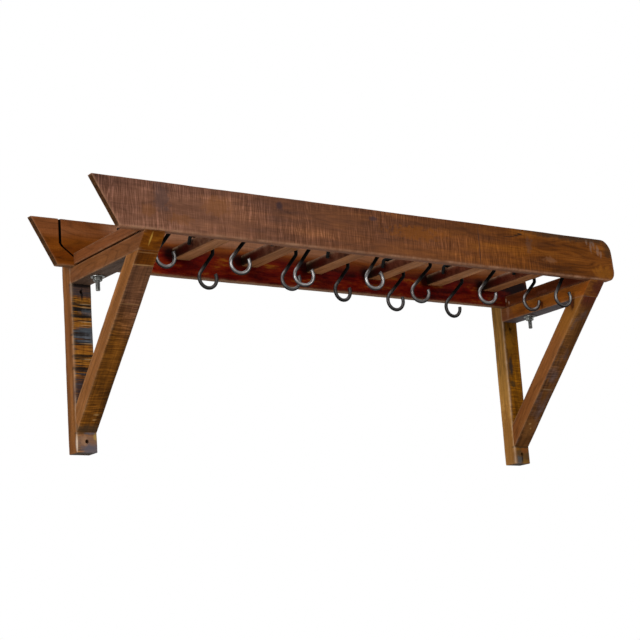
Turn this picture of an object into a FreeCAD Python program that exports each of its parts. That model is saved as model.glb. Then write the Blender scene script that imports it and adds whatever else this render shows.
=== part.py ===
"""Wall coat rack of reclaimed timber: two boards on edge, slats between them, two braced brackets, loose S-hooks.

Millimetres. +X runs along the boards to the right, +Y points at the wall and +Z up.
The origin is the centre of the four wall screws, on the wall.
"""
import FreeCAD, Part
import math
import os

V = FreeCAD.Vector
os.makedirs("parts", exist_ok=True)

# Brackets
bracket_pitch = 1196.0
bracket_width = 47.0
post_depth = 38.0
post_rise = 88.0
arm_thickness = 33.5
arm_tip_setback = 2.0
brace_thickness = 37.5
brace_foot_drop = 347.0
bracket_arris = 2.0

# Wall screws: one under each arm, one under each brace, with the post's foot below it
screw_below_arm = 16.5
screw_below_brace = 19.0
foot_below_screw = 23.0
wall_screw_radius = 4.5

# Boards
board_height = 100.0
board_thickness = 17.0
board_gap = 286.0
front_overhang = 137.0
back_overhang = 119.0
right_overhang = 59.0
nose_run = 58.5
end_lean = 8.0
end_radius_top = 32.0
end_radius_bottom = 26.0
board_arris = 1.5

# Seam of the back board's joined end, measured from the left bracket's centre line
seam_offset = 53.0
seam_knee_height = 43.5
seam_foot_offset = 5.0
seam_opening = 3.0
seam_depth = 5.0

# Slats
slat_count = 7
slat_pitch = 177.3
slat_first = 60.0
slat_width = 42.0
slat_thickness = 25.5
slat_lift = 37.0
slat_top_round = 4.5
slat_bottom_round = 1.5

# Cross beams
beam_thickness = 24.0
beam_lift = 4.0
beam_arris = 1.5

# Stub tenons and their mortises
board_tenon = 8.0
board_shoulder = 5.0
arm_tenon = 20.0
arm_shoulder = 9.0
mortise_play = 0.2

# Dowels in the brace joints
dowel_radius = 5.0
dowel_reach = 16.0
dowel_play = 0.1

# Carriage bolts, washers and nuts
bolt_from_back_board = 57.0
bolt_radius = 5.0
bolt_hole_play = 0.4
bolt_head_radius = 11.5
bolt_head_height = 5.0
bolt_tail = 31.0
bolt_chamfer = 1.0
bolt_neck_height = 6.0
bolt_neck_play = 0.2
washer_radius = 15.0
washer_thickness = 2.5
nut_across_flats = 17.0
nut_height = 8.4
thread_play = 0.1

# Screws that hold the back board to the posts
board_screw_heights = (30.0, 68.0)
board_screw_radius = 2.25
board_screw_head_radius = 4.5
board_screw_head_height = 3.0
board_screw_sink = 10.0
board_screw_bite = 12.0
board_screw_play = 0.1
screw_pocket_play = 1.0

# S-hooks
rod_radius = 4.0
hook_seat_gap = 0.3
hook_leg_play = 1.6
hook_corner_radius = 8.0
hook_tip_flare = 4.5
hook_tip_drop = 20.0
hook_leg_below = 3.0
hook_bend_radius = 9.0
hook_bowl_drop = 62.0
hook_bowl_radius = 21.5
hook_tip_chamfer = 0.7

# Hooks in order from the left, two to a slat: distance from the front board, sideways place of the bowl,
# extra drop of the bowl, angle of the lip past level, and turn about the upright, the last two in degrees
hooks_per_slat = 2
hook_stations = (70.0, 186.0, 65.0, 199.0, 94.0, 143.0, 77.0, 190.0, 118.0, 215.0, 100.0, 213.0, 46.0, 155.0)
hook_bowl_shifts = (9.5, 7.0, 7.5, 11.5, 10.0, 10.0, 10.0, 6.0, -5.0, -2.0, 3.0, -9.0, 12.5, 13.0)
hook_extra_drops = (0.0, 0.0, 0.0, -1.0, 4.0, 1.0, 1.0, 1.0, 8.0, 5.0, 2.0, 9.0, 7.0, -8.0)
hook_lip_angles = (33, 28, 30, 30, 38, 28, 48, 26, 20, 28, 10, 8, 36, 6)
hook_turns = (0, -3, -8, -1, -13, -6, -6, 3, -10, -3, -12, 1, -7, -9)

# Planes that the pieces share
upper_screw_drop = arm_thickness + screw_below_arm
lower_screw_drop = brace_foot_drop + screw_below_brace
post_drop = lower_screw_drop + foot_below_screw
arm_top = (upper_screw_drop + lower_screw_drop) / 2
arm_bottom = arm_top - arm_thickness
board_top = arm_top + board_height
post_front = -post_depth
back_board_inner = post_front - board_thickness
front_board_inner = back_board_inner - board_gap
front_face = front_board_inner - board_thickness
arm_tip = front_face + arm_tip_setback
slat_bottom = arm_top + slat_lift
slat_top = slat_bottom + slat_thickness
beam_bottom = arm_top + beam_lift
beam_top = beam_bottom + beam_thickness
bolt_y = back_board_inner - bolt_from_back_board
bracket_centres = {"left": -bracket_pitch / 2, "right": bracket_pitch / 2}
brace_lean = math.atan2(post_front - arm_tip, brace_foot_drop)


def save(name, *solids):
    """Writes one node: a single solid, or a group of like solids."""
    shape = solids[0] if len(solids) == 1 else Part.makeCompound(list(solids))
    shape.exportStep(os.path.join("parts", name + ".step"))


def box(x0, x1, y0, y1, z0, z1):
    """A block between two corners."""
    return Part.makeBox(x1 - x0, y1 - y0, z1 - z0, V(x0, y0, z0))


def rod(start, end, radius):
    """A straight round bar, used for dowels, shanks and holes."""
    return Part.makeCylinder(radius, (end - start).Length, start, end - start)


def corner_arc(before, corner, after, radius):
    """The arc of a radius that is tangent to both sides of a corner."""
    to_before = (before - corner).normalize()
    to_after = (after - corner).normalize()
    half = to_before.getAngle(to_after) / 2
    reach = radius / math.tan(half)
    inward = (to_before + to_after).normalize()
    middle = corner + inward * (radius / math.sin(half) - radius)
    return Part.Arc(corner + to_before * reach, middle, corner + to_after * reach)


def outline(points, radii, closed=True):
    """A wire through the points, with each corner that has a radius rounded to it."""
    count = len(points)
    arcs = {}
    for i, radius in enumerate(radii):
        if radius:
            arcs[i] = corner_arc(points[i - 1], points[i], points[(i + 1) % count], radius)
    edges = []
    for i in range(count if closed else count - 1):
        following = (i + 1) % count
        start = arcs[i].EndPoint if i in arcs else points[i]
        end = arcs[following].StartPoint if following in arcs else points[following]
        edges.append(Part.LineSegment(start, end).toShape())
        if following in arcs:
            edges.append(arcs[following].toShape())
    return Part.Wire(edges)


def prism(wire, along):
    """A solid of one outline, pushed straight along a vector."""
    return Part.Face(wire).extrude(along)


def edges_along(shape, axis):
    """The straight edges of a shape that run along an axis."""
    found = []
    for edge in shape.Edges:
        if isinstance(edge.Curve, Part.Line) and abs(edge.tangentAt(edge.FirstParameter).dot(axis)) > 0.999:
            found.append(edge)
    return found


def edges_in_plane(shape, y):
    """The edges of a shape that lie in the plane at y."""
    return [e for e in shape.Edges if abs(e.BoundBox.YMin - y) < 1e-6 and abs(e.BoundBox.YMax - y) < 1e-6]


# Boards


def board(overhang, y_front):
    """A plank on edge, with its raking nose at the left and its rounded end at the right."""
    tip = bracket_centres["left"] - overhang
    end = bracket_centres["right"] + right_overhang
    points = [
        V(tip, y_front, board_top),
        V(tip + nose_run, y_front, arm_top),
        V(end, y_front, arm_top),
        V(end - end_lean, y_front, board_top),
    ]
    wire = outline(points, (0, 0, end_radius_bottom, end_radius_top))
    plank = prism(wire, V(0, board_thickness, 0))
    arrises = edges_in_plane(plank, y_front) + edges_in_plane(plank, y_front + board_thickness)
    return plank.makeChamfer(board_arris, arrises)


def tenon_block(x, width, z0, z1, play, reach):
    """The bar, from tenon end to tenon end, that a slat or beam passes into the boards."""
    return box(
        x - width / 2 + board_shoulder - play,
        x + width / 2 - board_shoulder + play,
        front_board_inner - reach,
        back_board_inner + reach,
        z0 + board_shoulder - play,
        z1 - board_shoulder + play,
    )


def slat_x(number):
    """Where a slat's centre line lies."""
    return bracket_centres["left"] + slat_first + (number - 1) * slat_pitch


mortises = []
for number in range(1, slat_count + 1):
    mortises.append(tenon_block(slat_x(number), slat_width, slat_bottom, slat_top, mortise_play, board_tenon + mortise_play))
for x in bracket_centres.values():
    mortises.append(tenon_block(x, bracket_width, beam_bottom, beam_top, mortise_play, board_tenon + mortise_play))


def board_screw(x, z, play=0.0):
    """A countersunk screw from a pocket in the post's back, through the post, into the back board."""
    seat = -board_screw_sink
    tip = post_front - board_screw_bite
    shank = rod(V(x, seat, z), V(x, tip - play, z), board_screw_radius + play)
    head = Part.makeCone(
        board_screw_head_radius + play,
        board_screw_radius + play,
        board_screw_head_height,
        V(x, seat, z),
        V(0, -1, 0),
    )
    return shank.fuse(head).removeSplitter()


def seam_line(shift):
    """The stepped seam on the back board: down, then raking to the foot, moved sideways by shift."""
    centre = bracket_centres["left"]
    y = back_board_inner
    beyond = board_height / 4
    knee = V(centre - seam_offset, y, arm_top + seam_knee_height)
    foot = V(centre + seam_foot_offset, y, arm_top)
    rake = (foot - knee).normalize()
    corner = math.pi / 2 + math.atan2(-rake.z, rake.x)
    knee_drop = shift * math.tan((math.pi - corner) / 2)
    knee_moved = knee + V(shift, 0, knee_drop if shift else 0)
    return [V(knee.x + shift, y, board_top + beyond), knee_moved, knee_moved + rake * ((foot - knee).Length + beyond)]


front_board = board(front_overhang, front_face)
back_plank = board(back_overhang, back_board_inner)
for mortise in mortises:
    front_board = front_board.cut(mortise)
    back_plank = back_plank.cut(mortise)
for x in bracket_centres.values():
    for height in board_screw_heights:
        back_plank = back_plank.cut(board_screw(x, arm_top + height, board_screw_play))

seam = seam_line(0.0)
slot_left = seam_line(-seam_opening / 2)
slot_right = seam_line(seam_opening / 2)
slot = prism(outline(slot_left + slot_right[::-1], [0] * 6), V(0, seam_depth, 0))
far_left = seam[0].x - 2 * front_overhang
end_region = prism(
    outline(seam + [V(far_left, seam[2].y, seam[2].z), V(far_left, seam[0].y, seam[0].z)], [0] * 5),
    V(0, board_thickness, 0),
)
save("front_board", front_board)
save("back_board", back_plank.cut(end_region).cut(slot))
save("back_board_end", back_plank.common(end_region).cut(slot))


# Slats and cross beams


def bar(x, width, z0, z1, top_round, bottom_round):
    """A bar between the boards with eased long edges and a stub tenon at each end."""
    body = box(x - width / 2, x + width / 2, front_board_inner, back_board_inner, z0, z1)
    long_edges = edges_along(body, V(0, 1, 0))
    upper = [e for e in long_edges if e.CenterOfMass.z > (z0 + z1) / 2]
    body = body.makeFillet(top_round, upper)
    long_edges = edges_along(body, V(0, 1, 0))
    lower = [e for e in long_edges if abs(e.CenterOfMass.z - z0) < 1e-6]
    body = body.makeFillet(bottom_round, lower)
    return body.fuse(tenon_block(x, width, z0, z1, 0.0, board_tenon))


for number in range(1, slat_count + 1):
    slat = bar(slat_x(number), slat_width, slat_bottom, slat_top, slat_top_round, slat_bottom_round)
    save("slat_%d" % number, slat)


def bolt_neck(x, play):
    """The square neck under a carriage bolt's head, or the socket that it sits in."""
    half = bolt_radius + play
    return box(x - half, x + half, bolt_y - half, bolt_y + half, beam_top - bolt_neck_height - play, beam_top)


def bolt_hole(x):
    """The clearance hole for a carriage bolt, down through beam and arm."""
    below = arm_bottom - bolt_tail
    return rod(V(x, bolt_y, board_top), V(x, bolt_y, below), bolt_radius + bolt_hole_play)


for side, x in bracket_centres.items():
    beam = bar(x, bracket_width, beam_bottom, beam_top, beam_arris, beam_arris)
    save(side + "_cross_beam", beam.cut(bolt_hole(x)).cut(bolt_neck(x, bolt_neck_play)))


# Brackets


def across(x, points):
    """A bracket piece: an outline seen from the side, as wide as the bracket, with its long arrises eased."""
    left = x - bracket_width / 2
    wire = outline([V(left, y, z) for y, z in points], [0] * len(points))
    block = prism(wire, V(bracket_width, 0, 0))
    arrises = [e for e in block.Edges if e.BoundBox.XLength < 1e-6 and e.Length > 2 * brace_thickness]
    return block.makeChamfer(bracket_arris, arrises)


def arm_tenon_block(x, play):
    """The arm's stub tenon, or the mortise for it in the post."""
    half = bracket_width / 2 - arm_shoulder + play
    z0 = arm_bottom + arm_shoulder - play
    z1 = arm_top - arm_shoulder + play
    return box(x - half, x + half, post_front, post_front + arm_tenon + play, z0, z1)


slope = math.tan(brace_lean)
brace_front = arm_tip + arm_thickness * slope
brace_back = brace_front + brace_thickness / math.cos(brace_lean)
brace_toe = arm_top - brace_foot_drop
brace_heel = brace_toe + brace_thickness / math.sin(brace_lean)
dowel_top_y = (brace_front + brace_back) / 2
dowel_foot_z = (brace_toe + brace_heel) / 2


def dowels(x, play):
    """The two dowels of a brace: one up into the arm, one back into the post."""
    reach = dowel_reach + play
    upper = rod(V(x, dowel_top_y, arm_bottom - reach), V(x, dowel_top_y, arm_bottom + reach), dowel_radius + play)
    lower = rod(V(x, post_front - reach, dowel_foot_z), V(x, post_front + reach, dowel_foot_z), dowel_radius + play)
    return [upper, lower]


for side, x in bracket_centres.items():
    post_bottom = arm_top - post_drop
    post_top = arm_top + post_rise
    holes = dowels(x, dowel_play)
    post = across(x, [(0, post_bottom), (0, post_top), (post_front, post_top), (post_front, post_bottom)])
    post = post.cut(arm_tenon_block(x, mortise_play)).cut(holes[1])
    for drop in (upper_screw_drop, lower_screw_drop):
        post = post.cut(rod(V(x, 0, arm_top - drop), V(x, post_front, arm_top - drop), wall_screw_radius))
    for height in board_screw_heights:
        z = arm_top + height
        pocket = rod(V(x, 0, z), V(x, -board_screw_sink, z), board_screw_head_radius + screw_pocket_play)
        post = post.cut(pocket).cut(board_screw(x, z, board_screw_play))
    save(side + "_post", post)

    arm = across(x, [(post_front, arm_bottom), (post_front, arm_top), (arm_tip, arm_top), (brace_front, arm_bottom)])
    arm = arm.fuse(arm_tenon_block(x, 0.0)).cut(bolt_hole(x)).cut(holes[0])
    save(side + "_arm", arm)

    brace_points = [
        (brace_front, arm_bottom),
        (brace_back, arm_bottom),
        (post_front, brace_heel),
        (post_front, brace_toe),
    ]
    brace = across(x, brace_points).cut(holes[0]).cut(holes[1])
    save(side + "_brace", brace)


# Fasteners


def carriage_bolt(x):
    """A domed bolt: head on the cross beam, shank through beam and arm, tail below the nut."""
    tip = arm_bottom - bolt_tail
    apex = V(0, 0, beam_top + bolt_head_height)
    rim = V(bolt_head_radius, 0, beam_top)
    rise = bolt_head_height / 2
    shoulder = V(bolt_head_radius * 0.75, 0, beam_top + rise * 1.25)
    edges = [
        Part.Arc(apex, shoulder, rim).toShape(),
        Part.LineSegment(rim, V(bolt_radius, 0, beam_top)).toShape(),
        Part.LineSegment(V(bolt_radius, 0, beam_top), V(bolt_radius, 0, tip + bolt_chamfer)).toShape(),
        Part.LineSegment(V(bolt_radius, 0, tip + bolt_chamfer), V(bolt_radius - bolt_chamfer, 0, tip)).toShape(),
        Part.LineSegment(V(bolt_radius - bolt_chamfer, 0, tip), V(0, 0, tip)).toShape(),
        Part.LineSegment(V(0, 0, tip), apex).toShape(),
    ]
    bolt = Part.Face(Part.Wire(edges)).revolve(V(0, 0, 0), V(0, 0, 1), 360)
    bolt.translate(V(x, bolt_y, 0))
    return bolt.fuse(bolt_neck(x, 0.0)).removeSplitter()


def washer(x):
    """A large flat washer under the arm."""
    top = V(x, bolt_y, arm_bottom)
    low = V(x, bolt_y, arm_bottom - washer_thickness)
    return rod(low, top, washer_radius).cut(rod(low, top, bolt_radius + bolt_hole_play))


def hex_nut(x):
    """A hexagon nut under the washer, with its corners turned down to the bearing circle."""
    top = arm_bottom - washer_thickness
    corner = nut_across_flats / math.sqrt(3)
    points = []
    for step in range(6):
        turn = math.radians(60 * step)
        points.append(V(x + corner * math.cos(turn), bolt_y + corner * math.sin(turn), top - nut_height))
    block = prism(outline(points, [0] * 6), V(0, 0, nut_height))
    low = V(x, bolt_y, top - nut_height)
    crown = Part.makeCone(nut_across_flats / 2, nut_across_flats / 2 + 2 * nut_height, nut_height, low, V(0, 0, 1))
    return block.common(crown).cut(rod(low, V(x, bolt_y, top), bolt_radius + thread_play))


sides = list(bracket_centres.values())
save("carriage_bolts", *[carriage_bolt(x) for x in sides])
save("washers", *[washer(x) for x in sides])
save("hex_nuts", *[hex_nut(x) for x in sides])
save("brace_dowels", *[dowel for x in sides for dowel in dowels(x, 0.0)])
save("board_screws", *[board_screw(x, arm_top + height) for x in sides for height in board_screw_heights])


# S-hooks


def hook_path(bowl_shift, extra_drop, lip_angle):
    """The centre line of a hook round a slat whose underside is at the origin, in the plane of X and Z."""
    leg = slat_width / 2 + hook_leg_play + rod_radius
    top = slat_thickness + hook_seat_gap + rod_radius
    tip = V(-leg - hook_tip_flare, 0, top - hook_tip_drop)
    bend_centre = V(leg - hook_bend_radius, 0, -hook_leg_below)
    bowl_centre = V(bowl_shift, 0, -hook_bowl_drop - extra_drop)
    between = bowl_centre - bend_centre
    heading = math.atan2(between.z, between.x)
    heading -= math.asin((hook_bend_radius + hook_bowl_radius) / between.Length)
    side = V(-math.sin(heading), 0, math.cos(heading))

    def on(centre, radius, angle):
        return centre + V(radius * math.cos(angle), 0, radius * math.sin(angle))

    bend_end = heading + math.pi / 2
    bowl_start = heading + 3 * math.pi / 2
    bowl_end = 2 * math.pi + math.radians(lip_angle)
    bend_start_point = bend_centre + V(hook_bend_radius, 0, 0)
    upper = outline(
        [tip, V(-leg, 0, top), V(leg, 0, top), bend_start_point],
        (0, hook_corner_radius, hook_corner_radius, 0),
        closed=False,
    )
    shank_start = bend_centre + side * hook_bend_radius
    shank_end = bowl_centre - side * hook_bowl_radius
    lower = [
        Part.Arc(bend_start_point, on(bend_centre, hook_bend_radius, bend_end / 2), shank_start),
        Part.LineSegment(shank_start, shank_end),
        Part.Arc(
            shank_end,
            on(bowl_centre, hook_bowl_radius, (bowl_start + bowl_end) / 2),
            on(bowl_centre, hook_bowl_radius, bowl_end),
        ),
    ]
    return Part.Wire(upper.Edges + [piece.toShape() for piece in lower])


def s_hook(bowl_shift, extra_drop, lip_angle):
    """A bent round bar: an arch over the slat, a raking shank and an open bowl below."""
    path = hook_path(bowl_shift, extra_drop, lip_angle)
    first = path.Edges[0]
    start = first.valueAt(first.FirstParameter)
    circle = Part.Circle(start, first.tangentAt(first.FirstParameter), rod_radius)
    bar = path.makePipeShell([Part.Wire(circle.toShape())], True, False)
    tips = [face for face in bar.Faces if isinstance(face.Surface, Part.Plane)]
    return bar.makeChamfer(hook_tip_chamfer, [edge for face in tips for edge in face.Edges])


for i, station in enumerate(hook_stations):
    hook = s_hook(hook_bowl_shifts[i], hook_extra_drops[i], hook_lip_angles[i])
    hook.rotate(V(0, 0, 0), V(0, 0, 1), hook_turns[i])
    hook.translate(V(slat_x(i // hooks_per_slat + 1), front_board_inner + station, slat_bottom))
    save("hook_%02d" % (i + 1), hook)
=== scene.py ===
import math

import bpy
import numpy as np
from mathutils import Matrix, Vector


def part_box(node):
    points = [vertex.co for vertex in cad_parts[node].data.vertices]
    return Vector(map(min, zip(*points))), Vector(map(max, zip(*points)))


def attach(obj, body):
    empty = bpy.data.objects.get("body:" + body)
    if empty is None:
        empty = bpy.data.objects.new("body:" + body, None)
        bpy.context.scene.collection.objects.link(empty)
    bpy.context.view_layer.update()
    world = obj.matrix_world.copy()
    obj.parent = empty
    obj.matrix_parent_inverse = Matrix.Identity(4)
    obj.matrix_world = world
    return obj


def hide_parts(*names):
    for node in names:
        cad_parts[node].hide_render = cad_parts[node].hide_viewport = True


# Wall coat rack of reclaimed, stained timber: two braced brackets carry a shelf of two boards on edge
# with seven slats between them, and fourteen loose steel hooks hang from the slats.
# Metres throughout: X along the rack, +Y towards the wall, Z up.
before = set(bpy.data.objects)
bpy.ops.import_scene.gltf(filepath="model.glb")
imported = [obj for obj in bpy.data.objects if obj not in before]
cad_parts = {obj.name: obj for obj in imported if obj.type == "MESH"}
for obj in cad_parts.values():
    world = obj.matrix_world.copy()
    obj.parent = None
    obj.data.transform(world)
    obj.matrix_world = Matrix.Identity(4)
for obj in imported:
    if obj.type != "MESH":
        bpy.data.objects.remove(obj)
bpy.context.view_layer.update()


# The two posts lie flat on the wall. Each is a bar of old stained softwood, cross-sawn in front and worn
# at the arrises, with two screw holes to the wall and two sunk pockets for the board screws.
def ripples(points, length, seed, count=7):
    """Sum of `count` plane waves of about one wavelength, in seeded directions, about -1 to 1."""
    rng = np.random.default_rng(seed)
    ways = rng.normal(size=(count, 3))
    strengths = (2 * math.pi / length) * rng.uniform(0.6, 1.5, (count, 1))
    ways *= strengths / np.linalg.norm(ways, axis=1, keepdims=True)
    phases = rng.uniform(0, 2 * math.pi, count)
    return np.sin(points @ ways.T + phases).sum(-1) / math.sqrt(count)


def square_end(level):
    """A bar's end that is cut square at one level."""
    return lambda across, through: level + 0 * across


def bar_outline(across, through, arris, rubbed, sawn, step, reach):
    """The way round a bar: a rectangle, across by through, with a quarter circle of radius arris at each
    corner. Gives its points and outward normals, how far each point is rubbed, which fades out within about
    reach of the corners, and how far its side shows the saw."""
    half = np.array([across, through]) / 2
    corners = np.array([[1, -1], [1, 1], [-1, 1], [-1, -1]])
    loop, out, handled, rough = [], [], [], []
    for k, sign in enumerate(corners):
        before = corners[k - 1]
        normal = (sign + before) / 2
        first = np.where(normal != 0, normal * half, before * (half - arris[k - 1]))
        last = np.where(normal != 0, normal * half, sign * (half - arris[k]))
        span = np.linalg.norm(last - first)
        way = (1 - np.cos(np.linspace(0, math.pi, max(7, int(span / step)))))[:, None] / 2
        loop.append(first + (last - first) * way)
        out.append(np.repeat(normal[None], len(way), 0))
        from_last = rubbed[k - 1] * np.exp(-way * span / reach)
        to_next = rubbed[k] * np.exp((way - 1) * span / reach)
        handled.append(np.maximum(from_last, to_next)[:, 0])
        rough.append(np.full(len(way), sawn[k]))
        facing = math.atan2(normal[1], normal[0])
        turn = np.linspace(facing, facing + math.pi / 2, 6)[1:-1]
        ray = np.stack([np.cos(turn), np.sin(turn)], -1)
        loop.append(sign * (half - arris[k]) + ray * arris[k])
        out.append(ray)
        handled.append(np.full(len(turn), rubbed[k]))
        rough.append(np.full(len(turn), (sawn[k] + sawn[(k + 1) % 4]) / 2))
    return [np.concatenate(rows) for rows in (loop, out, handled, rough)]


def bar_stations(length, step, ease):
    """The stations along a bar, from the middle of one end cut to the middle of the other: how far the
    outline is shrunk towards that middle, how far it is drawn in by the end's rounding of radius ease, its
    share of the way from start to end, and how far it lies ahead of that share."""
    turn_in = np.linspace(0, math.pi / 2, 4)
    caps = np.array([0.1, 0.3, 0.5, 0.66, 0.78, 0.87, 0.93, 0.97, 0.99, 0.998])
    body = np.linspace(0, 1, max(8, int(length / step)))[1:-1]
    one, zero = np.ones_like, np.zeros_like
    shrink = np.concatenate([caps, one(turn_in), one(body), one(turn_in), caps[::-1]])[:, None]
    inset = np.concatenate([one(caps) * ease, ease * (1 - np.sin(turn_in)), zero(body),
                            ease * (1 - np.sin(turn_in[::-1])), one(caps) * ease])[:, None]
    share = np.concatenate([zero(caps), zero(turn_in), body, one(turn_in), one(caps)])[:, None]
    lead = np.concatenate([zero(caps), ease * (1 - np.cos(turn_in)), ease * (1 - 2 * body),
                           -ease * (1 - np.cos(turn_in[::-1])), zero(caps)])[:, None]
    return shrink, inset, share, lead


def sawn_bar(across, through, start, end, sawn, arris=(0.0016,) * 4, rubbed=(0.5,) * 4,
             rubbed_ends=(0.5, 0.5), ease=0.0016, step=0.004, wear=0.0005, reach=0.0014, sway=0.00022,
             seed=1):
    """One timber as a closed grid of (along, across, through) points, with how far each is rubbed, whether it
    lies on an end cut, and how far its side still shows the saw (sawn: the sides facing -through, +across,
    +through, -across; rubbed and arris: the corners that follow those sides).

    Every column runs from start(across, through) to end(across, through). Both ends turn in over an arris of
    radius ease and then shrink to a point in the middle of the end grain. Each point moves along its outward
    normal by slow ripples of height sway, and the arrises, within about reach, sink by up to wear where
    quicker ripples dip.
    """
    loop, out, handled, rough = bar_outline(across, through, arris, rubbed, sawn, step, reach)
    length = float(np.max(end(loop[:, 0], loop[:, 1]) - start(loop[:, 0], loop[:, 1])))
    shrink, inset, share, lead = bar_stations(length, step, ease)
    across_at = (loop[:, 0] - out[:, 0] * inset) * shrink
    through_at = (loop[:, 1] - out[:, 1] * inset) * shrink
    along_at = start(across_at, through_at) * (1 - share) + end(across_at, through_at) * share + lead
    points = np.stack([along_at, across_at, through_at], -1)

    near_end = np.minimum(share, 1 - share) * length
    at_end = np.where(share < 0.5, *rubbed_ends) * np.exp(-near_end / reach) * np.clip(shrink * 20 - 19, 0, 1)
    edge = np.maximum(handled * np.clip(shrink * 4 - 3, 0, 1), at_end)
    lift = sway * ripples(points, 0.16, seed)
    lift = lift + 0.4 * sway * ripples(points, 0.05, seed + 1)
    dip = np.clip(ripples(points, 0.035, seed + 2), 0, 1.6)
    dip = dip + 0.6 * np.clip(ripples(points, 0.011, seed + 3), 0, 1.5)
    lift = (lift - wear * edge * dip * 0.6) * shrink
    points[..., 1] += out[:, 0] * lift
    points[..., 2] += out[:, 1] * lift
    poles = [np.array([start(0.0, 0.0), 0.0, 0.0]), np.array([end(0.0, 0.0), 0.0, 0.0])]
    marks = {"rubbed": np.clip(edge * (0.6 + 0.4 * dip), 0, 1), "sawn": rough * np.ones_like(shrink),
             "cut": np.where(shrink < 0.9985, 1.0, 0.0) * np.ones_like(rough)}
    return points, poles, marks


def set_out(shape, origin, along, across):
    """Carries a bar's (along, across, through) points into the rack's frame; through is along x across."""
    points, ends, marks = shape
    along, across = np.array(along, float), np.array(across, float)
    directions = np.stack([along, across, np.cross(along, across)])
    return points @ directions + origin, [e @ directions + origin for e in ends], marks


def solid(name, shells, material, body, nodes):
    """One piece from closed grids: each row joins to the next, columns close round, and either a point
    closes each end or, where a shell has no end points, the last row joins the first."""
    spots, corners, sizes, first = [], [], [], 0
    kept = {key: [] for key in shells[0][2]}
    for points, ends, marks in shells:
        rows, columns = points.shape[:2]
        grid = first + np.arange(rows * columns).reshape(rows, columns)
        if not ends:
            grid = np.concatenate([grid, grid[:1]])
        beside = np.roll(grid, -1, axis=1)
        quads = np.stack([grid[:-1], beside[:-1], beside[1:], grid[1:]], -1).reshape(-1, 4)
        corners.append(quads.ravel())
        sizes.append(np.full(len(quads), 4))
        spots.append(points.reshape(-1, 3))
        first += rows * columns
        for key, values in marks.items():
            kept[key].append(values.ravel())
            kept[key].append(values[[0, -1], 0] if ends else values[:0, 0])
        if ends:
            tail, nose = np.full(columns, first), np.full(columns, first + 1)
            fans = np.concatenate([np.stack([tail, beside[0], grid[0]], -1),
                                   np.stack([nose, grid[-1], beside[-1]], -1)])
            corners.append(fans.ravel())
            sizes.append(np.full(len(fans), 3))
            spots.append(np.array(ends))
            first += 2
    spots, corners, sizes = np.concatenate(spots), np.concatenate(corners), np.concatenate(sizes)
    mesh = bpy.data.meshes.new(name)
    mesh.vertices.add(len(spots))
    mesh.vertices.foreach_set("co", spots.astype(np.float32).ravel())
    mesh.loops.add(len(corners))
    mesh.loops.foreach_set("vertex_index", corners.astype(np.int32))
    mesh.polygons.add(len(sizes))
    mesh.polygons.foreach_set("loop_start", np.concatenate([[0], np.cumsum(sizes)[:-1]]).astype(np.int32))
    mesh.polygons.foreach_set("use_smooth", np.ones(len(sizes), bool))
    mesh.update(calc_edges=True)
    mesh.validate()
    for key, values in kept.items():
        layer = mesh.attributes.new(key, "FLOAT", "POINT")
        layer.data.foreach_set("value", np.concatenate(values).astype(np.float32))
    mesh.materials.append(material)
    piece = bpy.data.objects.new(name, mesh)
    bpy.context.scene.collection.objects.link(piece)
    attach(piece, body)
    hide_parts(*nodes)
    return piece


def add(tree, kind, feeds, **settings):
    """A shader node: settings are its own properties, feeds its inputs, each a value or another socket."""
    made = tree.nodes.new("ShaderNode" + kind)
    for key, value in settings.items():
        setattr(made, key, value)
    for key, value in feeds.items():
        if isinstance(value, bpy.types.NodeSocket):
            tree.links.new(value, made.inputs[key])
        else:
            made.inputs[key].default_value = value
    return made


def noise(tree, place, spread, detail=3.0, rough=0.55):
    """Noise with `spread` lumps to the metre along each axis."""
    scaled = add(tree, "Mapping", {"Vector": place, "Scale": spread}).outputs[0]
    feeds = {"Vector": scaled, "Scale": 1.0, "Detail": detail, "Roughness": rough}
    return add(tree, "TexNoise", feeds).outputs["Fac"]


def sums(tree, how, *values):
    """One Math node."""
    return add(tree, "Math", dict(enumerate(values)), operation=how).outputs[0]


def remap(tree, value, low, high, to_low=0.0, to_high=1.0):
    """A value carried from one range to another, held at its ends."""
    feeds = {"Value": value, "From Min": low, "From Max": high, "To Min": to_low, "To Max": to_high}
    return add(tree, "MapRange", feeds).outputs[0]


def tint(tree, value, *stops):
    """Colours along a ramp, each stop a place and a linear colour."""
    made = add(tree, "ValToRGB", {"Fac": value})
    marks = made.color_ramp.elements
    while len(marks) < len(stops):
        marks.new(0.5)
    for mark, (place, colour) in zip(marks, stops):
        mark.position = place
        mark.color = (*colour, 1.0)
    return made.outputs["Color"]


def cover(tree, how, share, below, above):
    """One colour laid over another."""
    feeds = {0: share, 6: below, 7: above}
    return add(tree, "Mix", feeds, data_type="RGBA", blend_type=how).outputs[2]


def turning(tree, value, low, high, before, after):
    """One colour that turns into another while a value goes from low to high."""
    return cover(tree, "MIX", remap(tree, value, low, high), before, after)


def tones(tree, value, three):
    """A dark, a middle and a light tone over the usual range of a noise."""
    return tint(tree, value, (0.30, three[0]), (0.50, three[1]), (0.70, three[2]))


def axes(tree, place):
    """A place's X, Y and Z."""
    return add(tree, "SeparateXYZ", {"Vector": place}).outputs


def strayed(tree, value, clouds, reach):
    """A coordinate that strays by reach either way with the clouds, so that a border on it isn't straight."""
    return sums(tree, "ADD", value, remap(tree, clouds, 0.3, 0.7, -reach, reach))


def mask(tree, *shares):
    """The product of shares, each a number or a socket."""
    whole = shares[0]
    for share in shares[1:]:
        whole = sums(tree, "MULTIPLY", whole, share)
    return whole


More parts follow.
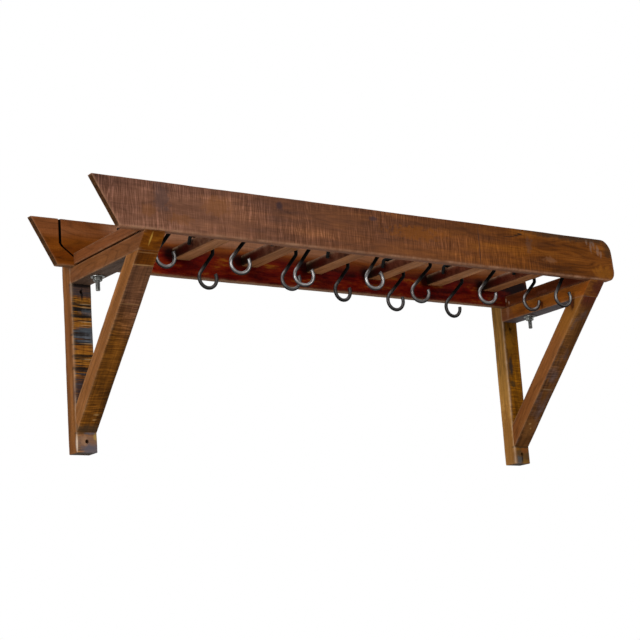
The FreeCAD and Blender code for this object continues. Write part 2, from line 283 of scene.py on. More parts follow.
def blot(tree, place, colour, centre, radii, tone, share=0.8, ragged=0.5):
    """A soft spot of another colour: an ellipsoid about a centre, its rim broken up by noise."""
    shrink = [1 / radius for radius in radii]
    move = [-along / radius for along, radius in zip(centre, radii)]
    spot = add(tree, "Mapping", {"Vector": place, "Location": move, "Scale": shrink}).outputs[0]
    away = add(tree, "VectorMath", {0: spot}, operation="LENGTH").outputs["Value"]
    rim = sums(tree, "SUBTRACT", noise(tree, place, (110, 110, 110), 3, 0.6), 0.5)
    away = sums(tree, "MULTIPLY_ADD", rim, 2 * ragged, away)
    return cover(tree, "MIX", remap(tree, away, 1.15, 0.55, 0.0, share), colour, (*tone, 1))


def on_front(y, reach, *rows):
    """Spots on a face that looks along Y, going into it by reach. A row holds the centre's X and Z, the radii
    in X and Z, the tone, and where they aren't the usual ones the share and the raggedness."""
    return [((x, y, z), (wide, reach, tall), *rest) for (x, z), (wide, tall), *rest in rows]


def fresh_material(name):
    """An empty material: itself, its node tree, its shader and the object's own coordinates."""
    material = bpy.data.materials.new(name)
    material.use_nodes = True
    tree = material.node_tree
    return material, tree, tree.nodes["Principled BSDF"], add(tree, "TexCoord", {}).outputs["Object"]


def grain_relief(tree, grain, streak, ring):
    """Streaks and fibres along the grain, about a half, less the growth rings, which are the level lines of
    a slow noise."""
    streaks = sums(tree, "SUBTRACT", noise(tree, grain, (5.0, 120, 120), 4, 0.6), 0.5)
    fibres = sums(tree, "SUBTRACT", noise(tree, grain, (20, 820, 820), 3, 0.6), 0.5)
    growth = sums(tree, "MULTIPLY", noise(tree, grain, (1.7, 14, 14), 2, 0.45), 17.0)
    rings = remap(tree, sums(tree, "PINGPONG", growth, 0.5), 0.0, 0.17, 1.0, 0.0)
    relief = sums(tree, "MULTIPLY_ADD", streaks, streak, 0.5)
    relief = sums(tree, "MULTIPLY_ADD", fibres, 0.30, relief)
    return sums(tree, "SUBTRACT", relief, mask(tree, rings, ring))


def saw_lines(tree, grain, pitch):
    """Lines across the grain, pitch to the metre: a comb that wavers, and noise as fine as the comb."""
    along = axes(tree, grain)[0]
    waver = mask(tree, noise(tree, grain, (40, 6, 6), 3, 0.65), 7.0)
    comb = sums(tree, "PINGPONG", sums(tree, "MULTIPLY_ADD", along, pitch, waver), 0.5)
    kerfs = mask(tree, noise(tree, grain, (pitch, 7, 7), 3, 0.62), 0.7)
    return sums(tree, "MULTIPLY_ADD", comb, 0.6, kerfs)


def stained_timber(name, turn, shift, stain, face=None, cut=None, worn=(0.34, 0.20, 0.11), saw=0.5, pitch=150,
                   streak=0.30, ring=0.12, blotch=0.35, gloss=0.50, marks=None, spots=()):
    """Old stained softwood. Clouds of colour drawn out along the grain take their tones from stain, or from
    face on the sawn sides and from cut on the ends. Over them come the relief of the grain, light and dark
    saw lines in patches, dark blotches, the piece's own marks and spots, and pale rubbed arrises. A row of
    spots holds what blot takes: centre, radii, tone, share and raggedness. The grain runs along X once the
    place is turned by `turn`."""
    material, tree, shader, place = fresh_material(name)
    grain = add(tree, "Mapping", {"Vector": place, "Location": shift, "Rotation": turn}).outputs[0]
    sawn = add(tree, "Attribute", {}, attribute_name="sawn").outputs["Fac"]

    clouds = noise(tree, grain, (3.0, 16, 16), 6, 0.66)
    colour = tones(tree, clouds, stain)
    if face:
        shown = face(tree, place, grain, clouds) if callable(face) else tones(tree, clouds, face)
        colour = turning(tree, sawn, 0.4, 0.8, colour, shown)

    relief = grain_relief(tree, grain, streak, ring)
    colour = cover(tree, "OVERLAY", 1.0, colour, relief)

    kerfs = saw_lines(tree, grain, pitch)
    patches = remap(tree, noise(tree, grain, (5, 14, 14), 3, 0.6), 0.38, 0.60, 0.12, 1.0)
    saw_share = mask(tree, patches, saw(tree, place) if callable(saw) else saw, sawn)
    light_kerfs = mask(tree, remap(tree, kerfs, 0.50, 0.70), saw_share)
    colour = cover(tree, "MULTIPLY", light_kerfs, colour, (2.1, 2.2, 2.5, 1))
    dark_kerfs = mask(tree, remap(tree, kerfs, 0.48, 0.32), saw_share)
    colour = cover(tree, "MULTIPLY", dark_kerfs, colour, (0.62, 0.58, 0.56, 1))
    stains = remap(tree, noise(tree, grain, (9, 26, 26), 4, 0.7), 0.58, 0.74, 0.0, blotch)
    colour = cover(tree, "MULTIPLY", stains, colour, (0.22, 0.20, 0.22, 1))
    if cut:
        ended = add(tree, "Attribute", {}, attribute_name="cut").outputs["Fac"]
        fibres = noise(tree, place, (30, 60, 230), 4, 0.65)
        ends = cut(tree, place, fibres) if callable(cut) else tones(tree, fibres, cut)
        colour = cover(tree, "MIX", ended, colour, ends)
    if marks:
        colour = marks(tree, place, grain, sawn, colour)
    for spot in spots:
        colour = blot(tree, place, colour, *spot)
    rub = add(tree, "Attribute", {}, attribute_name="rubbed").outputs["Fac"]
    rub = mask(tree, rub, remap(tree, noise(tree, place, (60, 60, 60), 3, 0.6), 0.32, 0.58, 0.25, 0.9))
    colour = cover(tree, "MIX", rub, colour, (*worn, 1))
    tree.links.new(colour, shader.inputs["Base Color"])
    tree.links.new(remap(tree, relief, 0.3, 0.7, gloss + 0.14, gloss - 0.08), shader.inputs["Roughness"])
    shader.inputs["Specular IOR Level"].default_value = 0.035
    height = sums(tree, "MULTIPLY_ADD", sums(tree, "SUBTRACT", kerfs, 0.5), saw_share, relief)
    bump = add(tree, "Bump", {"Height": height, "Strength": 0.6, "Distance": 0.0012}).outputs[0]
    tree.links.new(bump, shader.inputs["Normal"])
    return material


def bored(piece, centre, radius, low, high, sides_sawn):
    """Bores a round hole along Y, by taking a cylinder away from the piece's mesh. The rims take the sawn
    mark of the face they lie on, and stay sharp."""
    facets = 28
    turn = np.linspace(0, 2 * math.pi, facets, endpoint=False)
    across, up = centre[0] + radius * np.sin(turn), centre[1] + radius * np.cos(turn)
    rim = np.stack(np.broadcast_arrays(across, np.array([[low], [high]]), up), -1)
    ends = [np.array([centre[0], low, centre[1]]), np.array([centre[0], high, centre[1]])]
    spots = np.concatenate([rim.reshape(-1, 3), ends])
    here = np.arange(facets)
    beside = (here + 1) % facets
    faces = np.stack([here, beside, beside + facets, here + facets], -1).tolist()
    faces += np.stack([beside, here, np.full(facets, 2 * facets)], -1).tolist()
    faces += np.stack([here + facets, beside + facets, np.full(facets, 2 * facets + 1)], -1).tolist()
    cutter_mesh = bpy.data.meshes.new("bore")
    cutter_mesh.from_pydata(spots.tolist(), [], faces)
    cutter = bpy.data.objects.new("bore", cutter_mesh)
    bpy.context.scene.collection.objects.link(cutter)
    cut = piece.modifiers.new("bore", "BOOLEAN")
    cut.operation = "DIFFERENCE"
    cut.solver = "EXACT"
    cut.object = cutter
    bpy.context.view_layer.update()
    result = bpy.data.meshes.new_from_object(piece.evaluated_get(bpy.context.evaluated_depsgraph_get()))
    piece.modifiers.remove(cut)
    piece.data = result
    bpy.data.objects.remove(cutter)
    places = np.empty(3 * len(result.vertices), np.float32)
    result.vertices.foreach_get("co", places)
    x, y, z = places.reshape(-1, 3).T
    sawn = np.empty(len(x), np.float32)
    result.attributes["sawn"].data.foreach_get("value", sawn)
    at_rim = np.hypot(x - centre[0], z - centre[1]) < radius * 1.02
    at_front = y < (y.min() + y.max()) / 2
    sawn = np.where(at_rim, np.where(at_front, sides_sawn[0], sides_sawn[2]), sawn)
    result.attributes["sawn"].data.foreach_set("value", sawn.astype(np.float32))
    result.set_sharp_from_angle(angle=math.radians(40))


def banded_front(tree, place, grain, clouds):
    """The left post's front: wide blocks of golden, black and blue-grey along the bar, with finer lines."""
    blocks = noise(tree, grain, (19, 2, 2), 1, 0.5)
    lines = noise(tree, grain, (125, 6, 6), 4, 0.70)
    bands = sums(tree, "MULTIPLY_ADD", lines, 0.54, mask(tree, blocks, 0.46))
    return tint(tree, bands, (0.39, (0.012, 0.009, 0.008)), (0.44, (0.060, 0.026, 0.007)),
                (0.475, (0.34, 0.132, 0.016)), (0.505, (0.20, 0.064, 0.008)), (0.53, (0.040, 0.022, 0.011)),
                (0.56, (0.024, 0.024, 0.028)), (0.60, (0.100, 0.106, 0.118)))


bracket_centres = {"left": -0.598, "right": 0.598}
bracket_width = 0.047
wall_screw_height = 0.158
wall_screw_radius = 0.0045
board_screw_heights = (0.238, 0.276)
pocket_radius = 0.0055
pocket_depth = 0.010
past_face = 0.01
post_arris = 0.002
post_sawn = (1.0, 0.1, 0.3, 0.1)
post_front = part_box("left_post")[0].y
right_inner_side = bracket_centres["right"] - bracket_width / 2
post_stain = {
    "left": ((0.078, 0.022, 0.003), (0.140, 0.046, 0.008), (0.20, 0.078, 0.018)),
    "right": ((0.148, 0.067, 0.011), (0.310, 0.148, 0.031), (0.43, 0.240, 0.080)),
}
post_face = {
    "left": banded_front,
    "right": ((0.036, 0.016, 0.001), (0.175, 0.060, 0.0012), (0.33, 0.130, 0.003)),
}
post_cut = ((0.020, 0.011, 0.005), (0.042, 0.024, 0.012), (0.075, 0.042, 0.020))
post_rubbed = {"left": 0.45, "right": 0.70}
post_saw = {"left": 0.4, "right": 0.7}
post_blotch = {"left": 0.3, "right": 0.7}
blue_grey = (0.070, 0.080, 0.092)
black_wax = (0.012, 0.008, 0.006)
pale_line = (0.40, 0.26, 0.13)
spot_depth = 0.012
post_spots = {"left": [], "right": []}

# Left: painted shade under the arm with a run below the screw hole, blue-grey and black patches and pale
# lines half way down, a purple-brown stretch above the brace's foot, and the bare foot, pink and blue-grey.
post_spots["left"] += on_front(
    post_front, spot_depth,
    # Painted shade under the arm: a grey-purple band and a black line against the arm's underside.
    ((-0.598, 0.163), (0.040, 0.017), (0.060, 0.042, 0.040), 0.85),
    ((-0.598, 0.172), (0.040, 0.005), (0.008, 0.006, 0.006), 0.9, 0.3),
    ((-0.597, 0.153), (0.003, 0.014), (0.008, 0.007, 0.007), 0.9, 0.2),
    ((-0.584, 0.114), (0.020, 0.008), blue_grey, 0.8, 0.6),
    ((-0.586, 0.077), (0.028, 0.007), blue_grey, 0.8, 0.6),
    ((-0.574, 0.054), (0.010, 0.009), blue_grey, 0.8, 0.6),
    ((-0.606, 0.107), (0.030, 0.0060), black_wax),
    ((-0.606, 0.066), (0.030, 0.0035), black_wax),
    ((-0.606, 0.0455), (0.030, 0.0020), black_wax),
    ((-0.606, 0.0205), (0.030, 0.0045), black_wax),
    ((-0.606, -0.005), (0.030, 0.0045), black_wax),
    *[((-0.588, up), (0.018, 0.0012), pale_line, 0.6) for up in (0.132, 0.125, 0.094, 0.087, 0.048, 0.0145)],
    ((-0.598, -0.060), (0.040, 0.040), (0.060, 0.034, 0.030), 0.8, 0.3),
    ((-0.598, -0.160), (0.040, 0.021), (0.150, 0.082, 0.052), 0.9, 0.2),
    ((-0.588, -0.175), (0.028, 0.013), (0.080, 0.073, 0.086), 0.9),
)
# The foot's worn edge, its yellow and orange patches, and the shade under the brace.
post_spots["left"] += on_front(
    post_front, spot_depth / 2,
    ((-0.6210, -0.161), (0.0017, 0.022), (0.56, 0.44, 0.34), 0.7, 0.3),
)
post_spots["left"] += on_front(
    post_front, spot_depth,
    ((-0.577, -0.148), (0.007, 0.009), (0.30, 0.19, 0.05)),
    ((-0.604, -0.157), (0.008, 0.012), (0.28, 0.15, 0.08), 0.6, 1.0),
    ((-0.612, -0.1405), (0.020, 0.003), (0.045, 0.022, 0.010), 0.8, 0.2),
    ((-0.590, -0.141), (0.016, 0.003), (0.05, 0.055, 0.07)),
)

# Right: a golden cloud and black mottles half way up. The foot is brown and blue-grey.
post_spots["right"] += on_front(
    post_front, spot_depth,
    ((0.590, 0.124), (0.014, 0.030), (0.28, 0.110, 0.006), 0.6, 0.8),
    ((0.588, 0.060), (0.007, 0.024), (0.020, 0.017, 0.015), 0.85, 0.6),
    ((0.590, 0.018), (0.010, 0.009), (0.030, 0.020, 0.008), 0.75, 0.9),
    ((0.598, -0.162), (0.040, 0.022), (0.068, 0.035, 0.013), 0.9, 0.2),
    ((0.585, -0.172), (0.013, 0.012), (0.060, 0.060, 0.060), 0.85),
)
# Its side is browner. The front has orange patches, the shade under the brace and a run below the screw hole.
post_spots["right"] += [
    ((right_inner_side, -0.019, -0.135), (0.010, 0.030, 0.100), (0.170, 0.066, 0.013), 0.75, 0.7),
]
post_spots["right"] += on_front(
    post_front, spot_depth,
    ((0.606, -0.148), (0.012, 0.009), (0.14, 0.042, 0.009)),
    ((0.606, -0.176), (0.011, 0.007), (0.14, 0.068, 0.012)),
    ((0.598, -0.140), (0.040, 0.0034), (0.028, 0.015, 0.007), 0.85, 0.2),
    ((0.597, -0.169), (0.0022, 0.012), (0.012, 0.010, 0.010), 0.9, 0.2),
)

for i, (side, centre) in enumerate(bracket_centres.items()):
    low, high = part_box(side + "_post")
    post = sawn_bar(bracket_width, high.y - low.y, square_end(low.z), square_end(high.z), post_sawn,
                    arris=(post_arris,) * 4, rubbed=(0.15, 0.2, 0.3, post_rubbed[side]),
                    rubbed_ends=(0.08, 0.3), seed=11 + 10 * i)
    shell = set_out(post, (centre, (low.y + high.y) / 2, 0), (0, 0, 1), (1, 0, 0))
    wood = stained_timber(side + "_post_wood", (0, math.pi / 2, 0), (0.7 + i, 0.2, 0.4 + i), post_stain[side],
                          post_face[side], post_cut, worn=(0.42, 0.29, 0.19), saw=post_saw[side],
                          streak=0.7, blotch=post_blotch[side], spots=post_spots[side])
    piece = solid(side + "_post_timber", [shell], wood, "rack", [side + "_post"])
    for height in (-wall_screw_height, wall_screw_height):
        bored(piece, (centre, height), wall_screw_radius, low.y - past_face, high.y + past_face, post_sawn)
    for height in board_screw_heights:
        bored(piece, (centre, height), pocket_radius, high.y - pocket_depth, high.y + past_face, post_sawn)


# The two arms stand level out of the posts on stub tenons and carry the shelf. They are bars of the same
# stained softwood. The front end is sawn off in line with the brace's front face and has kept a golden tone.
brace_lean = 318 / 347
let_in = 0.001
arm_stain = {
    "left": ((0.078, 0.022, 0.005), (0.114, 0.036, 0.009), (0.16, 0.057, 0.016)),
    "right": ((0.120, 0.024, 0.003), (0.230, 0.066, 0.007), (0.35, 0.120, 0.014)),
}
# Undersides: the left dark grey-brown, the right a bluish grey that is a painted reflection of the pale
# surroundings seen at a grazing angle.
arm_underside_and_reflection = {
    "left": ((0.045, 0.026, 0.017), (0.085, 0.050, 0.033), (0.14, 0.085, 0.058)),
    "right": ((0.060, 0.045, 0.045), (0.110, 0.088, 0.090), (0.17, 0.14, 0.145)),
}
arm_cut = {
    "left": ((0.050, 0.013, 0.001), (0.110, 0.029, 0.0008), (0.19, 0.060, 0.003)),
    "right": ((0.060, 0.016, 0.003), (0.130, 0.040, 0.006), (0.22, 0.080, 0.012)),
}
brace_knot = ((right_inner_side, -0.287, 0.166), (0.01, 0.008, 0.018), (0.050, 0.008, 0.003), 0.85, 0.4)
# Left: a pale upright scrape on the front cut. Right: dark red at the front end and beside the post, where it
# is chipped, with a small dark spot and the knot at the brace.
arm_spots = {
    "left": [((-0.602, -0.345, 0.194), (0.0022, 0.05, 0.012), (0.38, 0.21, 0.035), 0.75, 0.25)],
    "right": [
        ((0.614, -0.345, 0.196), (0.026, 0.040, 0.030), (0.060, 0.012, 0.006), 0.8, 0.7),
        ((right_inner_side, -0.184, 0.187), (0.01, 0.004, 0.010), (0.070, 0.010, 0.003), 0.75),
        brace_knot,
        ((0.574, -0.050, 0.196), (0.03, 0.030, 0.030), (0.095, 0.032, 0.016), 0.6, 0.7),
        ((right_inner_side, -0.061, 0.198), (0.01, 0.006, 0.016), (0.30, 0.140, 0.075), 0.5, 1.2),
    ],
}
for i, (side, centre) in enumerate(bracket_centres.items()):
    low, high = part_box(side + "_arm")
    middle = (low.z + high.z) / 2
    height = high.z - low.z
    arm = sawn_bar(height, bracket_width,
                   lambda across, through: low.y + brace_lean * (height / 2 - across),
                   square_end(post_front + let_in), (0.1, 0.1, 0.1, 1.0), rubbed=(0.35, 0.2, 0.3, 0.45),
                   rubbed_ends=(0.05, 0.05), ease=0.0005, seed=31 + 10 * i)
    shell = set_out(arm, (centre, 0, middle), (0, 1, 0), (0, 0, 1))
    wood = stained_timber(side + "_arm_wood", (0, 0, -math.pi / 2), (0.3 + i, 0.6, 0.1), arm_stain[side],
                          arm_underside_and_reflection[side], arm_cut[side], worn=(0.30, 0.17, 0.09), saw=0.25, blotch=0.25,
                          spots=arm_spots[side])
    solid(side + "_arm_timber", [shell], wood, "rack", [side + "_arm"])


# The two braces run from the posts' feet to the arms' front ends, a dowel hidden in each joint.
# They keep the bandsaw's cross marks on their front faces and are planed smooth on their sides.
def left_brace_front(tree, place, grain, clouds):
    """Golden under the arm, purple-brown below a pale scored line, golden brown again in the lower half, and
    darkened along the right edge by painted shade."""
    across, _, up = axes(tree, place)
    purple = tones(tree, clouds, ((0.046, 0.019, 0.009), (0.112, 0.045, 0.019), (0.18, 0.078, 0.036)))
    golden = tones(tree, clouds, ((0.042, 0.014, 0.001), (0.122, 0.041, 0.0035), (0.21, 0.077, 0.009)))
    colour = turning(tree, strayed(tree, up, clouds, 0.03), 0.015, 0.085, golden, purple)
    # Painted shade: the front darkens towards its right edge.
    edge = remap(tree, across, -0.590, -0.575, 0.0, 0.6)
    colour = cover(tree, "MULTIPLY", edge, colour, (0.3, 0.3, 0.3, 1))
    return turning(tree, up, 0.149, 0.153, colour, tones(tree, clouds, arm_cut["left"]))


def right_brace_front(tree, place, grain, clouds):
    """Brown with blue-grey patches, dark red close under the arm."""
    up = axes(tree, place)[2]
    brown = tones(tree, clouds, ((0.028, 0.009, 0.0016), (0.080, 0.028, 0.005), (0.14, 0.054, 0.012)))
    grey = remap(tree, noise(tree, grain, (14, 20, 20), 3, 0.6), 0.50, 0.64, 0.0, 0.8)
    brown = cover(tree, "MIX", grey, brown, (0.085, 0.050, 0.040, 1))
    return turning(tree, up, 0.145, 0.165, brown, (0.070, 0.016, 0.006, 1))


brace_stain = {
    "left": ((0.140, 0.048, 0.009), (0.195, 0.072, 0.017), (0.25, 0.100, 0.028)),
    "right": ((0.095, 0.026, 0.005), (0.150, 0.048, 0.010), (0.21, 0.077, 0.020)),
}
brace_face = {"left": left_brace_front, "right": right_brace_front}
brace_saw = {"left": 1.0, "right": 0.7}
scored_line = (0.30, 0.16, 0.06)
pale_chip = (0.30, 0.17, 0.06)
# Left: scored lines across the front, two chips near the foot, and painted shade darkening the foot. Right: a
# golden top with the knot on the left side, a lighter foot with chips, and a scored line half way up.
brace_spots = {
    "left": [
        ((-0.598, -0.303, 0.1505), (0.030, 0.006, 0.0012), scored_line, 0.7, 0.3),
        ((-0.598, -0.243, 0.085), (0.030, 0.006, 0.0012), scored_line, 0.3, 0.3),
        ((-0.598, -0.322, 0.171), (0.030, 0.006, 0.0012), scored_line, 0.3, 0.3),
        ((-0.592, -0.065, -0.107), (0.006, 0.008, 0.0020), pale_chip, 0.6, 1.3),
        ((-0.591, -0.058, -0.1165), (0.005, 0.008, 0.0018), pale_chip, 0.6, 1.3),
        # Painted shade over the brace's foot.
        ((-0.598, -0.042, -0.135), (0.040, 0.014, 0.014), (0.044, 0.026, 0.013)),
    ],
    "right": [
        ((right_inner_side, -0.275, 0.140), (0.010, 0.070, 0.060), (0.200, 0.075, 0.009), 0.65, 0.7),
        brace_knot,
        ((0.598, -0.078, -0.096), (0.026, 0.030, 0.030), (0.170, 0.066, 0.016), 0.5, 1.2),
        ((0.598, -0.150, -0.017), (0.020, 0.008, 0.0012), (0.26, 0.16, 0.08), 0.5, 0.3),
        ((0.592, -0.083, -0.090), (0.004, 0.008, 0.002), pale_chip, 0.6, 1.3),
        ((0.600, -0.074, -0.100), (0.003, 0.008, 0.002), pale_chip, 0.6, 1.3),
    ],
}
brace_thickness = 0.0375
brace_bite = 0.0005
lean = math.atan(brace_lean)
for i, (side, centre) in enumerate(bracket_centres.items()):
    low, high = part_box(side + "_brace")
    foot_half = brace_thickness / 2 / math.sin(lean)
    foot = low.z + foot_half
    arm_bottom = high.z
    brace = sawn_bar(bracket_width, brace_thickness,
                     lambda across, through: through / math.tan(lean) - brace_bite,
                     lambda across, through: ((arm_bottom - foot - through * math.sin(lean))
                                              / math.cos(lean) + brace_bite),
                     (1.0, 0.1, 0.4, 0.1), arris=(0.002, 0.002, 0.002, 0.0014), rubbed=(0.1, 0.2, 0.3, 0.2),
                     rubbed_ends=(0.0, 0.0), ease=0.0005, seed=51 + 10 * i)
    shell = set_out(brace, (centre, post_front, foot), (0, -math.sin(lean), math.cos(lean)), (1, 0, 0))
    wood = stained_timber(side + "_brace_wood", (-lean, math.pi / 2, 0), (0.1 + i, 0.9, 0.5),
                          brace_stain[side], brace_face[side], worn=(0.36, 0.23, 0.13), saw=brace_saw[side],
                          pitch=180, streak=0.6, blotch=0.3, spots=brace_spots[side])
    solid(side + "_brace_timber", [shell], wood, "rack", [side + "_brace"])


# Dowels pin the braces to posts and arms, one at each end of a brace. They are plain turned beech pegs in
# blind holes, hidden in the joints.
def recoat(node, material):
    """A hidden piece that keeps the mesh of its solid takes a material of its own."""
    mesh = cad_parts[node].data
    mesh.materials.clear()
    mesh.materials.append(material)


dowel_wood = stained_timber("dowel_wood", (0, math.pi / 2, 0), (0.2, 0.3, 0.8),
                            ((0.16, 0.09, 0.04), (0.30, 0.19, 0.09), (0.42, 0.28, 0.15)), saw=0.1)
recoat("brace_dowels", dowel_wood)


# A cross beam lies over each arm, tenoned into both boards. It is the same stained softwood.
# The left one stands clear of its arm, the right one rests on it.
beam_rests = {"left": 0.0, "right": 0.0038}
# The right beam's left side has a pink scrape, is darker red towards the front board, and is chipped behind.
beam_chip = (0.40, 0.250, 0.180)
beam_spots = {
    "left": [],
    "right": [
        ((right_inner_side, -0.190, 0.217), (0.01, 0.022, 0.004), (0.19, 0.070, 0.040), 0.35, 1.4),
        ((right_inner_side, -0.310, 0.222), (0.01, 0.060, 0.022), (0.070, 0.010, 0.004), 0.7, 0.6),
        ((right_inner_side, -0.0585, 0.225), (0.01, 0.0030, 0.0060), beam_chip, 0.7, 0.8),
        ((right_inner_side, -0.0680, 0.216), (0.01, 0.0024, 0.0050), beam_chip, 0.7, 0.8),
    ],
}
beam_stain = {
    "left": ((0.095, 0.028, 0.008), (0.145, 0.045, 0.013), (0.20, 0.070, 0.022)),
    "right": ((0.055, 0.009, 0.002), (0.105, 0.022, 0.005), (0.18, 0.055, 0.012)),
}
shelf_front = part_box("front_board")[1].y
shelf_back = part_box("back_board")[0].y
for i, (side, centre) in enumerate(bracket_centres.items()):
    low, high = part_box(side + "_cross_beam")
    low.z -= beam_rests[side]
    beam = sawn_bar(high.z - low.z, bracket_width, square_end(shelf_front - let_in),
                    square_end(shelf_back + let_in), (0.2, 0.3, 0.2, 0.3), rubbed=(0.3, 0.3, 0.2, 0.3),
                    rubbed_ends=(0.3, 0.1), seed=71 + 10 * i)
    shell = set_out(beam, (centre, 0, (low.z + high.z) / 2), (0, 1, 0), (0, 0, 1))
    wood = stained_timber(side + "_beam_wood", (0, 0, -math.pi / 2), (0.5 + i, 0.1, 0.3), beam_stain[side],
                          worn=(0.28, 0.16, 0.09), saw=0.4, blotch=0.2, spots=beam_spots[side])
    solid(side + "_beam_timber", [shell], wood, "rack", [side + "_cross_beam"])


# The back board stands on edge against the posts. Its raking left end is a second piece of the same
# plank, butted at a kneed seam that has opened on the inner face. The right end is rounded off.
board_thickness = 0.017
board_height = 0.100
board_bottom = 0.208
end_foot = 0.657
end_lean = 0.008
end_top_radius = 0.032
end_bottom_radius = 0.026
nose_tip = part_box("back_board_end")[0].x
nose_run = 0.0585
seam_knee = (-0.651, 0.2515)
seam_foot = -0.593
seam_opening = 0.0056
seam_closed = 0.0002
seam_depth = 0.010
seam_flare = 0.004
slat_spacing = 0.1773
slat_corner = -0.566
corner_height = 0.254


def lit_and_shaded_inner_face(tree, place, grain, clouds):
    """Pinkish brown along the top, painted light where light falls on the top of the face. Below that golden
    outside the left bracket, and inside it orange brown and then a dark oxblood red with golden flames:
    partly the wood's own red and partly painted shade under the slats, darker further in from the left
    bracket and towards the right. Painted shadow lies in the corner left of each slat and behind the right
    beam."""
    across, _, up = axes(tree, place)
    up = strayed(tree, up, clouds, 0.008)
    golden = tones(tree, clouds, ((0.048, 0.007, 0.0004), (0.116, 0.026, 0.0010), (0.195, 0.056, 0.004)))
    # Painted light: the top of the face is lighter where light falls on it.
    lit_top = tones(tree, clouds, ((0.080, 0.021, 0.004), (0.136, 0.039, 0.009), (0.19, 0.064, 0.020)))
    outside = turning(tree, up, 0.246, 0.262, golden, (0.135, 0.034, 0.002, 1))
    outside = turning(tree, up, 0.262, 0.284, outside, lit_top)

    flames = noise(tree, grain, (9, 42, 42), 5, 0.7)
    red = tint(tree, flames, (0.34, (0.030, 0.0004, 0.0003)), (0.46, (0.125, 0.0020, 0.0008)),
               (0.56, (0.21, 0.016, 0.0030)), (0.66, (0.35, 0.110, 0.0120)))
    # Painted shade: the red darkens further in from the left bracket.
    red = cover(tree, "MULTIPLY", remap(tree, across, -0.50, -0.25), red, (0.60, 0.56, 0.36, 1))
    # Painted light and shade: lighter upwards from the slats' level, where light reaches over the front
    # board, and darker towards the right.
    lit_upwards = tint(tree, remap(tree, up, 0.258, 0.296), (0.0, (0.045, 0.004, 0.001)),
                  (0.30, (0.085, 0.013, 0.002)), (0.58, (0.150, 0.038, 0.006)), (0.95, (0.24, 0.105, 0.055)))
    lit_upwards = cover(tree, "MULTIPLY", remap(tree, across, -0.30, 0.40), lit_upwards, (0.72, 0.62, 0.45, 1))
    shelf = turning(tree, up, 0.250, 0.264, red, lit_upwards)
    beside = sums(tree, "SUBTRACT", across, slat_corner)
    beside = sums(tree, "WRAP", beside, slat_spacing / 2, -slat_spacing / 2)
    above = sums(tree, "SUBTRACT", up, corner_height)
    corner = add(tree, "CombineXYZ", {"X": beside, "Z": above}).outputs[0]
    corner = add(tree, "VectorMath", {0: corner}, operation="LENGTH").outputs["Value"]
    # Painted shadow in the corner left of each slat.
    corner_shadow = remap(tree, corner, 0.024, 0.010, 0.0, 0.95)
    shelf = cover(tree, "MULTIPLY", corner_shadow, shelf, (0.06, 0.04, 0.04, 1))
    # Painted shade: nearly black on the back board behind the right beam.
    shadow_centre, shadow_radii = (0.614, -0.055, 0.260), (0.056, 0.02, 0.030)
    shelf = blot(tree, place, shelf, shadow_centre, shadow_radii, (0.004, 0.001, 0.001), 0.95)
    return turning(tree, across, -0.560, -0.510, outside, shelf)


def rounded_end(z, through):
    """The right end's X at a height: a leaning line, drawn in by a quarter circle at top and bottom."""
    up = z + board_height / 2
    top = np.clip(up - (board_height - end_top_radius), 0, end_top_radius)
    bottom = np.clip(end_bottom_radius - up, 0, end_bottom_radius)
    drawn_in = end_top_radius - np.sqrt(end_top_radius**2 - top**2)
    drawn_in = drawn_in + end_bottom_radius - np.sqrt(end_bottom_radius**2 - bottom**2)
    return end_foot - end_lean * up / board_height - drawn_in


def raking_nose(tip):
    """The left end's X at a height: furthest out at the top edge, back by nose_run at the bottom."""
    return lambda z, through: tip + nose_run * (0.5 - z / board_height)


def seam(side):
    """The seam's X at a height: upright above the knee, then straight down to its foot, and half the
    opening away from that line on the inner face, closing towards the wall face."""
    def line(z, through):
        """The seam's X on one of its two sides."""
        below = np.clip(seam_knee[1] - board_bottom - (z + board_height / 2), 0, None)
        slope = (seam_foot - seam_knee[0]) / (seam_knee[1] - board_bottom)
        opened = np.clip((through + board_thickness / 2 - seam_depth) / seam_flare, 0, 1)
        return seam_knee[0] + slope * below + side * (seam_closed + opened * seam_opening / 2)
    return line


board_stain = ((0.115, 0.050, 0.020), (0.175, 0.082, 0.036), (0.24, 0.125, 0.060))
board_cut = ((0.020, 0.007, 0.0015), (0.042, 0.015, 0.003), (0.074, 0.029, 0.007))


def board_ends(tree, place, fibres):
    """Sawn end grain, nearly black down in the seam."""
    across, _, up = axes(tree, place)
    rake = nose_run / board_height
    nose = nose_tip + nose_run + board_bottom * rake
    past_nose = sums(tree, "MULTIPLY_ADD", up, rake, across)
    left_half = remap(tree, across, 0.0, 0.1, 1.0, 0.0)
    seam_black = mask(tree, remap(tree, past_nose, nose + 0.006, nose + 0.010), left_half)
    return cover(tree, "MIX", seam_black, tones(tree, fibres, board_cut), (0.002, 0.0015, 0.001, 1))


low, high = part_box("back_board")
board_middle = (0, (low.y + high.y) / 2, board_bottom + board_height / 2)
board_sawn = (0.3, 0.1, 1.0, 0.1)
for name, start, end, rubbed_ends, shift, blotch, gloss, seed in (
        ("back_board", seam(1), rounded_end, (0.0, 0.45), (0.4, 0.1, 0.9), 0.4, 0.42, 91),
        ("back_board_end", raking_nose(nose_tip), seam(-1), (0.45, 0.0), (1.7, 0.3, 0.5), 0.2, 0.50, 95)):
    board = sawn_bar(board_height, board_thickness, start, end, board_sawn, rubbed=(0.3, 0.3, 0.5, 0.4),
                     rubbed_ends=rubbed_ends, ease=0.0006, seed=seed)
    shell = set_out(board, board_middle, (1, 0, 0), (0, 0, 1))
    wood = stained_timber(name + "_wood", (0, 0, 0), shift, board_stain, lit_and_shaded_inner_face, board_ends,
                          worn=(0.26, 0.14, 0.075), saw=0.12, streak=0.32, blotch=blotch, gloss=gloss)
    solid(name + "_timber", [shell], wood, "rack", [name])


